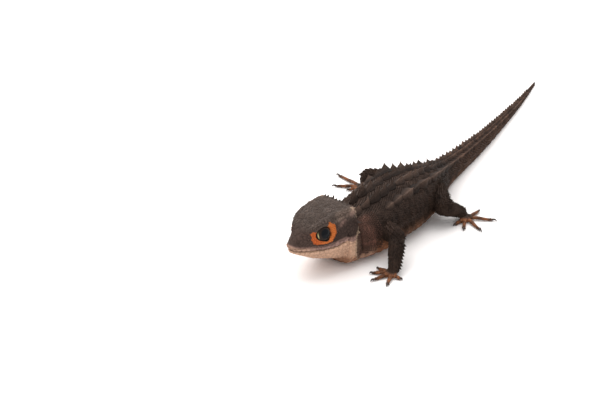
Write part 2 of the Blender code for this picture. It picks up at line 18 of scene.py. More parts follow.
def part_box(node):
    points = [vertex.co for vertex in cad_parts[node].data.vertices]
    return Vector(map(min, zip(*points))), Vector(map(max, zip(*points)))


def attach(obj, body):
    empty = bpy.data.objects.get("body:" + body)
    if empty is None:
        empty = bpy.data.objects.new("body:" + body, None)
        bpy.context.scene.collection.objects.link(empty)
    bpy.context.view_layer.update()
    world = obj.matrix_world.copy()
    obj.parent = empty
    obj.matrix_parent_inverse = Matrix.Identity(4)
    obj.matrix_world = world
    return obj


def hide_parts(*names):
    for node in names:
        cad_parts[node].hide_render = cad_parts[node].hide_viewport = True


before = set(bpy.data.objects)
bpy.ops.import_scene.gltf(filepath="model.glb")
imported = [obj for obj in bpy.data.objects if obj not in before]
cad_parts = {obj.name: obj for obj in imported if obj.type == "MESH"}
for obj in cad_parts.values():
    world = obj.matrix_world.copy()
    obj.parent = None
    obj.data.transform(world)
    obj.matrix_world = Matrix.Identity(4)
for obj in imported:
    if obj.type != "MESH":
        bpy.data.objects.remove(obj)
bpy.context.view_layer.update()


# The hide.
# One skin over the whole animal, from the lips to the tip of the tail, as a living lizard has. Its lengths
# are lofted, fused and smoothed into one form, and it lies just inside the solids.
MM = 0.001
EYE = Vector((4.2, -35.8, 15.2))
EYE_RADIUS = 3.3
eye_low, eye_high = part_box("eye_left")
ORIGIN = (eye_low + eye_high) / 2 - EYE * MM
HEAD_CORE = 0.12
COAT = 0.3

# The midline from the back of the head to the tip of the tail: y, x, half width, top and bottom.
BODY = (
    (-26.0, 1.0, 9.0, 16.0, 1.2),
    (-21.0, 0.9, 9.3, 16.1, 0.5),
    (-16.0, 1.2, 10.1, 16.6, 0.2),
    (-10.0, 1.0, 11.0, 17.6, 0.2),
    (-1.0, 0.2, 11.3, 18.7, 0.4),
    (8.0, -0.4, 11.2, 18.8, 0.6),
    (17.0, -1.4, 10.0, 17.8, 0.8),
    (26.0, -3.0, 8.1, 15.8, 1.2),
    (35.0, -5.4, 5.9, 13.0, 1.2),
    (45.0, -8.8, 4.2, 10.2, 0.2),
    (57.0, -12.3, 3.6, 8.3, -0.3),
    (72.0, -16.4, 3.05, 6.7, -0.3),
    (88.0, -21.0, 2.5, 5.1, -0.3),
    (105.0, -26.4, 2.0, 3.6, -0.3),
    (122.0, -31.9, 1.4, 2.4, -0.3),
    (137.0, -37.2, 0.9, 1.6, -0.3),
    (150.0, -42.2, 0.5, 1.0, -0.3),
)
UPPER_ROUND = 2.5
LOWER_ROUND = 4.2
WIDEST_AT = 0.44

# The head at stations along it: y, half width of the flat crown, of the cheek and of the jaw,
# then the heights of the crown, the cheek's widest line, and the throat.
HEAD = (
    (-45.5, 0.8, 1.2, 0.8, 13.4, 12.5, 11.4),
    (-45.0, 1.4, 2.2, 1.6, 14.5, 12.3, 10.2),
    (-43.4, 1.9, 3.1, 2.4, 15.9, 12.1, 8.9),
    (-40.6, 3.3, 4.3, 3.5, 18.2, 11.8, 7.4),
    (-37.6, 4.9, 5.9, 4.9, 19.8, 11.5, 6.1),
    (-34.6, 5.6, 7.2, 6.0, 20.6, 11.3, 5.1),
    (-31.0, 5.9, 8.2, 7.0, 21.2, 11.0, 4.0),
    (-27.0, 6.4, 9.0, 7.9, 21.3, 10.8, 2.8),
    (-24.0, 7.0, 9.4, 8.5, 21.1, 10.6, 1.9),
    (-21.7, 7.1, 9.3, 8.4, 20.7, 10.4, 1.5),
)
# The casque's edge from the snout to its rear corner, and the cheek's raised rear edge as y and z.
CASQUE_EDGE = (
    (2.1, -42.8, 16.2), (3.1, -41.2, 17.4), (4.6, -38.4, 19.1), (5.6, -34.6, 20.1),
    (5.9, -30.5, 20.7), (6.9, -23.4, 20.5),
)
CASQUE_EDGE_SIZES = (0.5, 0.8, 1.2, 1.3, 1.0, 1.1)
CASQUE_EDGE_RADIUS = 0.6
CHEEK_EDGE = ((-22.9, 16.8), (-22.7, 13.4), (-22.7, 9.8), (-23.2, 6.6), (-23.9, 4.4))
CHEEK_EDGE_RADIUS = 0.6
MOUTH = ((-52.0, 11.6), (-46.0, 11.3), (-42.0, 10.4), (-37.0, 10.0), (-32.0, 10.2), (-28.0, 10.9))

# Each leg: root inside the body, elbow or knee, wrist or ankle, and the radii at the three.
ARM = {
    "left": ((6.0, -9.0, 9.6), (16.8, -11.6, 8.8), (22.6, -20.0, 2.6)),
    "right": ((-6.0, -9.0, 8.6), (-14.6, -4.8, 6.6), (-18.6, -13.4, 2.6)),
}
ARM_RADII = (3.6, 2.8, 2.1)
LEG = {
    "left": ((1.0, 27.0, 8.2), (12.2, 19.0, 7.5), (13.2, 28.6, 2.6)),
    "right": ((-6.5, 26.0, 8.4), (-21.4, 18.5, 8.8), (-26.6, 22.6, 2.6)),
}
LEG_RADII = (4.5, 3.2, 2.1)
TOES = {
    "left_hand": ((15.6, -20.6), (16.2, -24.9), (20.0, -28.8), (26.1, -27.9), (27.1, -21.0)),
    "right_hand": ((-12.8, -16.6), (-13.6, -20.4), (-17.4, -22.6), (-22.4, -21.2), (-24.6, -14.8)),
    "left_foot": ((15.0, 21.6), (19.9, 21.0), (25.2, 24.5), (23.9, 34.9), (14.7, 37.3)),
    "right_foot": ((-27.2, 17.4), (-31.2, 17.6), (-37.8, 16.9), (-43.5, 25.6), (-33.6, 30.6)),
}
HAND_REACH = 2.6
FOOT_REACH = 3.6
TOE_RADIUS = 0.62
TOE_SPREAD = 0.75
# Along each toe: how far along, the height of its middle, and its thickness.
TOE_LINE = ((0.0, 0.75, 1.0), (0.3, 0.95, 1.0), (0.6, 0.65, 0.9), (0.84, 0.5, 0.7))
LEG_SWELL = 0.12
ROUND_END = (80, 55, 28)
PALM_RADII = (0.9, 1.7, 2.1, 1.3)
PALM_FLATNESS = 0.75
# How many corners and rings the lengths are lofted with, and where the first and the last ring stand.
BODY_CORNERS, HEAD_CORNERS, LEG_CORNERS, SMALL_CORNERS = 40, 32, 14, 12
BODY_RINGS, HEAD_RINGS = 150, 36
BODY_START, BODY_END = -27.0, 149.6
SNOUT_STEPS, SNOUT_END = (0.0, 0.15, 0.4, 0.8, 1.3, 2.0), -42.6


def on_model(point):
    return Vector(point) * MM + ORIGIN


def smooth(rows, at):
    """The row at this first value, on a smooth curve through all of them."""
    last = len(rows) - 1
    i = next((n for n in range(last) if at <= rows[n + 1][0]), last - 1)
    before, a, b, after = rows[max(i - 1, 0)], rows[i], rows[i + 1], rows[min(i + 2, last)]
    span = b[0] - a[0]
    t = (at - a[0]) / span
    found = []
    for k in range(1, len(a)):
        rise_a = (b[k] - before[k]) / (b[0] - before[0]) * span
        rise_b = (after[k] - a[k]) / (after[0] - a[0]) * span
        found.append(
            (2 * t**3 - 3 * t**2 + 1) * a[k]
            + (t**3 - 2 * t**2 + t) * rise_a
            + (3 * t**2 - 2 * t**3) * b[k]
            + (t**3 - t**2) * rise_b
        )
    return found


def power(value, exponent):
    return math.copysign(abs(value) ** exponent, value)


def body_point(y, angle):
    """A point of the trunk's or tail's surface: angle 0 is the left flank and a quarter turn is the back."""
    x, half, top, bottom = smooth(BODY, y)
    ahead = smooth(BODY, y + 0.5)[0] - smooth(BODY, y - 0.5)[0]
    side = Vector((1.0, -ahead, 0.0)).normalized()
    middle = bottom + WIDEST_AT * (top - bottom)
    squareness = 2 / (UPPER_ROUND if math.sin(angle) > 0 else LOWER_ROUND)
    across = power(math.cos(angle), squareness) * half
    rise = power(math.sin(angle), squareness)
    rise *= top - middle if rise > 0 else middle - bottom
    return Vector((x, y, middle + rise)) + side * across


def body_ring(y, count):
    return [body_point(y, 2 * math.pi * (i + 0.5) / count) for i in range(count)]


def head_ring(y, count=HEAD_CORNERS):
    crown, cheek, jaw, top, middle, throat = smooth(HEAD, y)
    half = (
        (0.0, top + 0.25),
        (crown * 0.6, top + 0.1),
        (crown, top - 0.5),
        (crown * 0.55 + cheek * 0.45, top * 0.62 + middle * 0.38),
        (cheek, middle),
        (cheek * 0.35 + jaw * 0.65, middle * 0.5 + throat * 0.5),
        (jaw * 0.74, throat + 0.3),
        (0.0, throat),
    )
    rows = [(float(i), *p) for i, p in enumerate(half)]
    steps = count // 2
    right = [smooth(rows, i * (len(rows) - 1) / steps) for i in range(steps + 1)]
    left = [(-x, z) for x, z in reversed(right[1:-1])]
    return [Vector((x, y, z)) for x, z in right + left]


def half_ring(y):
    """The left half of the head's ring from crown to throat, with the run along it."""
    ring = head_ring(y, 96)[:49]
    line = np.array(ring)
    run = np.concatenate(([0.0], np.cumsum(np.linalg.norm(np.diff(line, axis=0), axis=1))))
    return line, run


def head_place(y, run_at):
    """A point of the head at a run from the crown's midline, positive on the left."""
    line, run = half_ring(y)
    found = [np.interp(abs(run_at), run, line[:, k]) for k in range(3)]
    return Vector((math.copysign(found[0], run_at), found[1], found[2]))


def run_at_height(y, z):
    line, run = half_ring(y)
    return float(np.interp(-z, -line[:, 2], run))


def read_off(table, at, column=1, by=0):
    """A column of a table of rows, at these values of another column, on straight lines between the rows."""
    return np.interp(at, [row[by] for row in table], [row[column] for row in table])


def tube_rings(points, radii, count=LEG_CORNERS, flat=1.0):
    line = [Vector(p) for p in points]
    rings = []
    for i, at in enumerate(line):
        ahead = (line[min(i + 1, len(line) - 1)] - line[max(i - 1, 0)]).normalized()
        side = ahead.cross(Vector((0.0, 0.0, 1.0)))
        side = side.normalized() if side.length > 0.05 else Vector((1.0, 0.0, 0.0))
        up = side.cross(ahead)
        turns = [2 * math.pi * (k + 0.5) / count for k in range(count)]
        rings.append([at + radii[i] * (math.cos(t) * side + flat * math.sin(t) * up) for t in turns])
    return rings


def swell(t):
    """How much a length of a leg is thickened, this far along it."""
    return 1 + LEG_SWELL * math.sin(math.pi * min(1.0, t * 1.2))


def limb_rings(start, end, start_radius, end_radius):
    """One length of a leg, thickest a third of the way down, with round ends."""
    a, b = Vector(start), Vector(end)
    along = (b - a).normalized()
    first, middle, last = [], [], []
    for turn in map(math.radians, ROUND_END):
        first.append((a - along * math.sin(turn) * start_radius, math.cos(turn) * start_radius))
        last.insert(0, (b + along * math.sin(turn) * end_radius, math.cos(turn) * end_radius))
    for t in (0.0, 0.3, 0.6, 1.0):
        middle.append((a + (b - a) * t, (start_radius + (end_radius - start_radius) * t) * swell(t)))
    places = first + middle + last
    return tube_rings([p for p, _ in places], [r for _, r in places])


def foot_lines(joints, tips, reach):
    """The palm's end, and for each toe the line of points from its root to the claw."""
    wrist = Vector(joints[2])
    ends = [Vector((x, y, 0.0)) for x, y in tips]
    centre = sum(ends, Vector()) / len(ends)
    ahead = Vector((centre.x - wrist.x, centre.y - wrist.y, 0.0)).normalized()
    side = Vector((-ahead.y, ahead.x, 0.0))
    palm_end = Vector((wrist.x, wrist.y, 0.7)) + ahead * reach
    lines = []
    for number, tip in enumerate(ends):
        from_side = (number - 2) * TOE_SPREAD
        lean = 1 if (tip - palm_end).dot(side) * from_side > 0 else -1
        root = palm_end - ahead * 1.3 + side * from_side * lean
        lines.append((root, tip))
    return palm_end, lines


def loft(shell, rings):
    """Bridges rings of like count into a closed length of the hide."""
    loops = []
    for ring in rings:
        made = bmesh.ops.create_circle(shell, segments=len(ring), radius=1.0)["verts"]
        for vert, point in zip(made, ring):
            vert.co = point
        loops.append(list(dict.fromkeys(edge for vert in made for edge in vert.link_edges)))
    for one, other in zip(loops, loops[1:]):
        bmesh.ops.bridge_loops(shell, edges=one + other)
    for end in (loops[0], loops[-1]):
        bmesh.ops.contextual_create(shell, geom=end)


def even_steps(start, end, count):
    return [start + (end - start) * i / count for i in range(count + 1)]


shell = bmesh.new()
loft(shell, [body_ring(y, BODY_CORNERS) for y in even_steps(BODY_START, BODY_END, BODY_RINGS)])
snout = [HEAD[0][0] + step for step in SNOUT_STEPS]
loft(shell, [head_ring(y) for y in snout + even_steps(SNOUT_END, HEAD[-1][0], HEAD_RINGS)])
for sign in (1, -1):
    edge = [Vector((sign * x, y, z)) for x, y, z in CASQUE_EDGE]
    loft(shell, tube_rings(edge, [CASQUE_EDGE_RADIUS * r for r in CASQUE_EDGE_SIZES], SMALL_CORNERS))
    cheek = [head_place(y, sign * run_at_height(y, z)) for y, z in CHEEK_EDGE]
    loft(shell, tube_rings(cheek, [CHEEK_EDGE_RADIUS] * len(cheek), SMALL_CORNERS))
for side in ("left", "right"):
    for joints, radii, foot, reach in (
        (ARM[side], ARM_RADII, side + "_hand", HAND_REACH),
        (LEG[side], LEG_RADII, side + "_foot", FOOT_REACH),
    ):
        root, middle, end = joints
        loft(shell, limb_rings(root, middle, radii[0], radii[1]))
        loft(shell, limb_rings(middle, end, radii[1], radii[2]))
        palm_end, toe_lines = foot_lines(joints, TOES[foot], reach)
        wrist = Vector(end)
        onward = Vector((palm_end.x - wrist.x, palm_end.y - wrist.y, 0.0)).normalized()
        palm = [
            wrist - onward * 1.4, wrist - Vector((0, 0, 0.6)),
            (wrist + palm_end) / 2 - Vector((0, 0, 0.5)), palm_end,
        ]
        loft(shell, tube_rings(palm, PALM_RADII, LEG_CORNERS, PALM_FLATNESS))
        for root, tip in toe_lines:
            line = [root.lerp(tip, t) for t, _, _ in TOE_LINE]
            line = [Vector((p.x, p.y, high + 0.05)) for p, (_, high, _) in zip(line, TOE_LINE)]
            toe_radii = [TOE_RADIUS * size + 0.06 for _, _, size in TOE_LINE]
            loft(shell, tube_rings(line, toe_radii, SMALL_CORNERS))
bmesh.ops.recalc_face_normals(shell, faces=shell.faces[:])


def mesh_from(shell, name):
    """A mesh of this name from a finished shape, which is then let go."""
    mesh = bpy.data.meshes.new(name)
    shell.to_mesh(mesh)
    shell.free()
    return mesh


def set_out(name, data):
    """An object of this mesh, camera or lamp, in the scene."""
    made = bpy.data.objects.new(name, data)
    bpy.context.scene.collection.objects.link(made)
    return made


# The lengths are fused on a fine grid and then softened, in millimetres.
FUSE_GRID = 0.36
SOFTENINGS = 7
hide = set_out("hide", mesh_from(shell, "hide"))
fuse = hide.modifiers.new("fuse", "REMESH")
fuse.mode = "VOXEL"
fuse.voxel_size = FUSE_GRID
soften = hide.modifiers.new("soften", "SMOOTH")
soften.factor = 0.5
soften.iterations = SOFTENINGS
bpy.context.view_layer.update()
hide.data = bpy.data.meshes.new_from_object(hide.evaluated_get(bpy.context.evaluated_depsgraph_get()))
hide.modifiers.clear()


def bell(distance, width):
    return np.exp(-((distance / width) ** 2))


def ramp(value, low, high):
    """0 below low, 1 above high, smooth between."""
    t = np.clip((value - low) / (high - low), 0.0, 1.0)
    return t * t * (3 - 2 * t)


def mesh_points(mesh):
    flat = np.empty(len(mesh.vertices) * 3, np.float32)
    mesh.vertices.foreach_get("co", flat)
    return flat.reshape(-1, 3).astype(float)


def mesh_normals(mesh):
    flat = np.empty(len(mesh.vertices) * 3, np.float32)
    mesh.vertex_normals.foreach_get("vector", flat)
    return flat.reshape(-1, 3).astype(float)


def wavy(points, scale, seed):
    """A smooth pattern from -1 to 1 that wanders in all directions."""
    draw = np.random.default_rng(seed)
    total = np.zeros(len(points))
    for _ in range(6):
        way = draw.normal(size=3)
        total += np.sin(points @ (way / scale) + draw.uniform(0, 2 * math.pi))
    return total / 3.4


# The ear and the nostril as y and z, and how far each form of the face is sunk or raised.
EAR = (-27.0, 11.9)
NOSTRIL = (-44.3, 13.9)
HEAD_HALF_WIDTH = 11.5
MOUTH_DEPTH, LIP_RISE, LIP_AT = 0.42, 0.30, 0.85
EAR_DEPTH, EAR_FOLD_RISE = 0.9, 0.35
NOSTRIL_DEPTH = 0.45
NECK_FOLD = -21.5
NECK_FOLD_DEPTH = 0.55
FLANK_FOLD_RISE = 0.16
SOCKET_RADIUS = EYE_RADIUS + 0.35
SOCKET_DEPTH = (2.2, -0.4, 0.6)
OFF_FLOOR = 0.06
points = mesh_points(hide.data)
normals = mesh_normals(hide.data)
x, y, z = points.T

# The hide lies inside the solids by the core's depth on the head, the toes and the thin end of the tail,
# and by the coat's depth where thicker scales grow on it.
beside = np.abs(x) > 5.0
head_part = ramp(-y, 21.0, 22.2) * (np.abs(x) < HEAD_HALF_WIDTH)
thin = ramp(y, 60.0, 130.0) + ramp(-z, -2.4, -1.6) * (np.abs(x) > 12.5)
on_leg = ramp(np.abs(x), 11.0, 13.0) * ramp(y, 10.0, 16.0) * ramp(-y, -40.0, -32.0)
depth = (COAT - HEAD_CORE) * (1 - head_part) * (1 - np.clip(thin, 0.0, 1.0)) * (1 + on_leg)
rise = -HEAD_CORE - depth

# The mouth and its lips, the ear and the nostril, the fold behind the head and the folds of the flanks.
off_lip = z - read_off(MOUTH, y)
on_mouth = ramp(-y, 27.6, 28.6) * head_part
rise -= MOUTH_DEPTH * bell(off_lip, 0.26) * on_mouth
rise += LIP_RISE * (bell(off_lip - LIP_AT, 0.42) + bell(off_lip + LIP_AT, 0.42)) * on_mouth
rise -= EAR_DEPTH * bell(y - EAR[0], 0.6) * bell(z - EAR[1], 1.1) * beside
rise += EAR_FOLD_RISE * bell(y - EAR[0] + 1.3, 0.45) * bell(z - EAR[1], 1.6) * beside
rise -= NOSTRIL_DEPTH * bell(y - NOSTRIL[0], 0.32) * bell(z - NOSTRIL[1], 0.3)
crease = bell(y - NECK_FOLD + 0.06 * (z - 10), 0.5) * ramp(z, 2.0, 4.0) * ramp(-z, -17.5, -16.0)
crease *= (np.abs(x) > 4) * (np.abs(x) < HEAD_HALF_WIDTH)
rise -= NECK_FOLD_DEPTH * crease
flank = ramp(y, -20.0, -14.0) * ramp(-y, -34.0, -26.0) * ramp(-z, -15.0, -12.0)
folds = np.sin(y * 1.9 + 0.5 * wavy(points, 4.0, 5) + 0.12 * z)
rise += FLANK_FOLD_RISE * folds * flank * (np.abs(x) < 13)
rise += 0.05 * wavy(points, 1.3, 6)
points += normals * rise[:, None]

# The sockets give room to the eyes.
for sign in (1, -1):
    ball = np.array((sign * EYE.x, EYE.y, EYE.z))
    away = np.linalg.norm(points - ball, axis=1)
    inside = away < SOCKET_RADIUS
    sunk = (1 - away[inside, None] / SOCKET_RADIUS) ** 0.5
    points[inside] -= np.array(SOCKET_DEPTH) * (sign, 1, 1) * sunk
points[:, 2] = np.maximum(points[:, 2], OFF_FLOOR)

hide.data.vertices.foreach_set("co", (points * MM + np.array(ORIGIN)).astype(np.float32).ravel())
hide.data.update()
hide.data.shade_smooth()


# The hide's colours.
# Dark brown above, tan under the belly and cream under the jaw, with an orange ring round each eye and
# orange toes. The hide and all its scales are coloured by the one function, by place on the animal.
DARK = (0.0205, 0.0130, 0.0095)
BACK = (0.046, 0.0290, 0.0218)
TAIL = (0.053, 0.0295, 0.0200)
BELLY = (0.12, 0.058, 0.032)
CROWN = (0.072, 0.053, 0.044)
BROW = (0.092, 0.068, 0.057)
CHEEK = (0.042, 0.027, 0.022)
JAW_CREAM = (0.46, 0.285, 0.195)
LIP_PINK = (0.28, 0.17, 0.14)
NECK_PINK = (0.17, 0.080, 0.058)
NECK_DARK = (0.050, 0.027, 0.020)
ORANGE = (0.50, 0.135, 0.032)
ORANGE_RED = (0.42, 0.085, 0.022)
TOE_ORANGE = (0.19, 0.068, 0.026)
TOE_DARK = (0.045, 0.024, 0.016)
PALE = (0.50, 0.36, 0.25)
RIM_TAN = (0.17, 0.12, 0.095)
# The chest's own brown, which is also laid under the throat as painted shade.
CHEST_AND_THROAT_SHADE = (0.20, 0.085, 0.042)
TRUNK_END = 45.0
LID_BLACK = (0.014, 0.011, 0.010)
# Where the casque's pale, lit ledge runs, as y and z, and the pale edge of the cheek, as z and y.
CASQUE_LEDGE = ((-36.0, 17.6), (-30.0, 18.6), (-25.6, 19.2), (-21.7, 20.2))
FRILL = (
    (3.2, -23.7), (6.0, -24.5), (8.4, -24.6), (10.8, -24.1), (12.0, -23.1), (14.0, -22.3), (17.0, -22.0),
)
# The eye looks outward and up, and the ring round it is longer than it is high.
EYE_LOOKS = Vector((0.92, -0.2, 0.3)).normalized()
EYE_LENGTH = (Vector((0, 1, 0)) - EYE_LOOKS * EYE_LOOKS.y).normalized()
EYE_HEIGHT = EYE_LOOKS.cross(EYE_LENGTH)
RING_HALF_LENGTH, RING_HALF_HEIGHT = 5.0, 4.0
FAR_OFF = 9.0
DARKEST, PALEST = 0.004, 0.95


def mix(colours, other, amount):
    return colours + (np.array(other) - colours) * np.clip(amount, 0.0, 1.0)[:, None]


def to_segment(points, start, end):
    """How far each point is from a straight line, and how far along it."""
    a, b = np.array(start), np.array(end)
    t = np.clip((points - a) @ (b - a) / ((b - a) @ (b - a)), 0.0, 1.0)
    return np.linalg.norm(points - a - t[:, None] * (b - a), axis=1), t


def eye_ring_place(points):
    """How far each point is from an eye's middle, in half sizes of the orange ring, and its turn there."""
    from_eye = points.copy()
    from_eye[:, 0] = np.abs(points[:, 0])
    from_eye -= np.array(EYE)
    back, up, outward = (from_eye @ np.array(way) for way in (EYE_LENGTH, EYE_HEIGHT, EYE_LOOKS))
    reach = np.hypot(back / RING_HALF_LENGTH, up / RING_HALF_HEIGHT)
    reach[outward < 0] = FAR_OFF
    return reach, np.arctan2(up, back)


def paint(points):
    """The animal's colour at places in millimetres on its own midline."""
    x, y, z = points.T
    aside = np.abs(x)
    blotch = wavy(points, 2.6, 11)
    fine = wavy(points, 0.9, 12)

    # The back, the flanks and the tail.
    colours = np.tile(np.array(DARK), (len(points), 1))
    colours = mix(colours, BACK, ramp(z, 9.0, 16.0) * (y < TRUNK_END))
    colours = mix(colours, TAIL, ramp(y, 28.0, 60.0))
    midline, half, top = (read_off(BODY, y, column) for column in (1, 2, 3))
    off_middle = np.abs(x - midline)
    colours *= (1 - 0.32 * bell(z - 8.0, 4.0) * (y < 12) * (y > -20))[:, None]
    colours = mix(colours, TAIL, 0.3 * (off_middle > np.maximum(half - 0.5, 8.0)) * (y < TRUNK_END))
    trunk = ramp(-(off_middle - half), -0.8, -0.1) * (y > -24)

    # The belly, the neck and the chest, which are paler.
    low = ramp(-z / np.maximum(top, 1.0), -0.42, -0.14)
    below = low * trunk * (0.35 + 0.65 * ramp(-y, -60.0, -40.0))
    colours = mix(colours, BELLY, below * (0.75 + 0.25 * fine))
    neck_side = ramp(y, -22.5, -20.5) * ramp(-y, 13.5, 17.0) * ramp(aside, 5.0, 7.5) * ramp(-z, -16.5, -14.0)
    colours = mix(colours, NECK_PINK, neck_side * trunk * (0.65 + 0.35 * fine))
    under_neck = ramp(-z, -7.0, -3.0) * ramp(-y, 14.0, 19.0) * trunk
    colours = mix(colours, JAW_CREAM, under_neck * (0.5 + 0.2 * blotch))
    chest = ramp(-z, -8.0, -4.5) * ramp(y, -17.0, -13.0) * ramp(-y, 0.0, 8.0) * trunk
    colours = mix(colours, CHEST_AND_THROAT_SHADE, chest * (0.8 + 0.2 * blotch))

    # The casque, with its pale edge, ledge and rear corner, and the cheek under it.
    head_part = ramp(-y, 21.3, 22.6) * (aside < HEAD_HALF_WIDTH)
    head = np.tile(np.array(CHEEK), (len(points), 1))
    head *= 1 + 0.5 * ramp(-y, 36.0, 40.0)[:, None]
    head = mix(head, CROWN, ramp(z, 16.5, 19.0))
    head = mix(head, BROW, bell(z - 18.0, 1.6) * bell(y + 36.5, 4.5) * (aside > 3.0))
    rim_x, rim_z = read_off(CASQUE_EDGE, y, 0, 1), read_off(CASQUE_EDGE, y, 2, 1)
    off_rim = np.hypot(aside - rim_x - 0.3, z - rim_z + 0.2)
    head = mix(head, RIM_TAN, bell(off_rim, 0.9) * ramp(y, -33.0, -28.0) * (0.5 + 0.3 * fine))
    head = mix(head, PALE, bell(aside - 7.2, 0.8) * bell(y + 23.2, 0.8) * bell(z - 20.2, 1.0) * 0.8)
    # The ledge is painted pale tan: partly the casque's own colour, partly a painted highlight where light
    # catches the ridge.
    lit_ledge = bell(z - read_off(CASQUE_LEDGE, y), 0.5) * ramp(y, -38.0, -33.0) * (aside > 5.0)
    head = mix(head, RIM_TAN, lit_ledge * (0.75 + 0.3 * fine))
    streak = bell((z - 16.6) - 0.42 * (y + 30.0), 0.9) * ramp(y, -32.5, -30.0) * (aside > 5)
    head = mix(head, LIP_PINK, 0.45 * streak * (0.6 + 0.4 * fine))

    # The lips, the jaw and the throat, as far back as the pale edge of the cheek.
    over_lip = z - read_off(MOUTH, y) + 0.9 * ramp(y, -28.4, -25.5)
    head = mix(head, LIP_PINK, ramp(-over_lip, -2.0, -1.2) * 0.8)
    head = mix(head, JAW_CREAM, ramp(-over_lip, -1.6, -0.9) * ramp(-y, 38.0, 43.5) * 0.62)
    head = mix(head, JAW_CREAM, ramp(-over_lip, -0.35, 0.15) * (0.93 + 0.07 * blotch))
    # Painted shade under the rear of the throat: its cream is darkened toward the chest's brown.
    throat_shade = ramp(-z, -5.2, -3.4) * ramp(y, -33.0, -28.0)
    head = mix(head, CHEST_AND_THROAT_SHADE, throat_shade * 0.75)
    behind_frill = y - read_off(FRILL, z)
    on_side = ramp(aside, 6.0, 7.5) * (z > 2.6)
    head = mix(head, NECK_DARK, ramp(behind_frill, -0.7, 0.5) * on_side * 0.9 * (z < 17.5))
    head = mix(head, PALE, bell(behind_frill, 0.32) * on_side * (0.5 + 0.3 * fine))

    # The ring round the eye, open above, with a black margin.
    reach, turn = eye_ring_place(points)
    ragged = reach + 0.07 * wavy(points, 0.7, 14)
    widest = 0.96 + 0.05 * np.cos(turn) - 0.13 * bell(turn + 1.75, 0.4) - 0.1 * bell(turn - 1.0, 0.3)
    opening = ramp(-np.abs(turn - 1.80), -0.97, -0.87)
    ring = ramp(widest - ragged, -0.03, 0.03) * (1 - opening)
    head = mix(head, ORANGE, ring)
    head = mix(head, ORANGE_RED, ring * ramp(-np.cos(turn), 0.2, 0.9) * 0.8)
    margin = 0.57 + 0.10 * bell(turn + 1.5, 0.5)
    head = mix(head, LID_BLACK, ramp(margin - reach, -0.02, 0.02))
    colours += (head - colours) * head_part[:, None]

    # The toes, in bands.
    for _, toe_lines in foot_places.values():
        for root, tip in toe_lines:
            away, t = to_segment(points, (root.x, root.y, 0.6), (tip.x, tip.y, 0.4))
            on_toe = ramp(-away, -1.5, -1.0) * ramp(t, 0.0, 0.3)
            banded = 0.5 + 0.5 * np.sin(t * 17.0 + 1.2)
            colours = mix(colours, TOE_ORANGE, on_toe * (0.95 - 0.6 * banded))
            colours = mix(colours, TOE_DARK, on_toe * ramp(t, 0.72, 0.9) * 0.7)
    rough = 0.22 * fine + 0.16 * blotch
    rough *= 1 - 0.7 * head_part
    return np.clip(colours * (1.0 + rough)[:, None], DARKEST, PALEST)


foot_places = {}
for side in ("left", "right"):
    foot_places[side + "_hand"] = foot_lines(ARM[side], TOES[side + "_hand"], HAND_REACH)
    foot_places[side + "_foot"] = foot_lines(LEG[side], TOES[side + "_foot"], FOOT_REACH)


def set_tint(mesh, colours, darkest=0.003):
    layer = mesh.color_attributes.new("Tint", "FLOAT_COLOR", "POINT")
    filled = np.ones((len(colours), 4), np.float32)
    filled[:, :3] = np.clip(colours, darkest, PALEST)
    layer.data.foreach_set("color", filled.ravel())


hide_colours = paint(points)
# Painted shade in the hollows: the mouth's slit, the fold behind the head and the ear opening are darkened.
hide_colours *= (1 - 0.75 * (bell(off_lip, 0.22) * on_mouth))[:, None]
hide_colours *= (1 - 0.6 * crease)[:, None]
hide_colours *= (1 - 0.7 * bell(y - EAR[0], 0.5) * bell(z - EAR[1], 0.9) * beside)[:, None]
set_tint(hide.data, hide_colours, 0.0)


class Wire:
    """A shader socket that arithmetic can be written on."""

    def __init__(self, tree, socket):
        self.tree = tree
        self.socket = socket

    def math(self, operation, other):
        node = self.tree.nodes.new("ShaderNodeMath")
        node.operation = operation
        for slot, value in zip(node.inputs, (self, other)):
            if isinstance(value, Wire):
                self.tree.links.new(value.socket, slot)
            else:
                slot.default_value = value
        return Wire(self.tree, node.outputs[0])

    def __add__(self, other):
        return self.math("ADD", other)

    __radd__ = __add__

    def __mul__(self, other):
        return self.math("MULTIPLY", other)

    __rmul__ = __mul__


class Finish:
    """One material, whose nodes are added a line at a time."""

    def __init__(self, name):
        self.material = bpy.data.materials.new(name)
        self.material.use_nodes = True
        self.tree = self.material.node_tree
        self.shader = self.tree.nodes["Principled BSDF"]
        place = self.tree.nodes.new("ShaderNodeTexCoord")
        self.place = Wire(self.tree, place.outputs["Object"])

    def node(self, kind, settings, values):
        """A node of this kind, with its settings, and with values or links for its sockets."""
        made = self.tree.nodes.new(kind)
        for name, value in settings.items():
            setattr(made, name, value)
        for name, value in values.items():
            if isinstance(value, Wire):
                self.tree.links.new(value.socket, made.inputs[name])
            else:
                made.inputs[name].default_value = value
        return Wire(self.tree, made.outputs[0])

    def noise(self, scale):
        values = {"Vector": self.place, "Scale": scale, "Detail": 3.0, "Roughness": 0.55}
        return self.node("ShaderNodeTexNoise", {}, values)

    def cells(self, scale):
        return self.node("ShaderNodeTexVoronoi", {"feature": "F1"}, {"Vector": self.place, "Scale": scale})

    def shade(self, colour, by):
        """The colour made darker and lighter by a value round 1."""
        grey = self.node("ShaderNodeCombineXYZ", {}, {"X": by, "Y": by, "Z": by})
        return self.node("ShaderNodeVectorMath", {"operation": "MULTIPLY"}, {0: colour, 1: grey})

    def tint(self):
        return self.node("ShaderNodeAttribute", {"attribute_name": "Tint"}, {})

    def set(self, name, value):
        """A number or colour that is the same all over, on the shader's own socket."""
        self.shader.inputs[name].default_value = value

    def wear(self, colour, roughness, height, depth):
        """Plugs in the colour, the roughness and a bump of this depth in metres."""
        bump = self.node("ShaderNodeBump", {}, {"Height": height, "Distance": depth, "Strength": 1.0})
        self.tree.links.new(colour.socket, self.shader.inputs["Base Color"])
        self.tree.links.new(roughness.socket, self.shader.inputs["Roughness"])
        self.tree.links.new(bump.socket, self.shader.inputs["Normal"])
        return self.material


def dress(piece, material):
    piece.data.materials.clear()
    piece.data.materials.append(material)


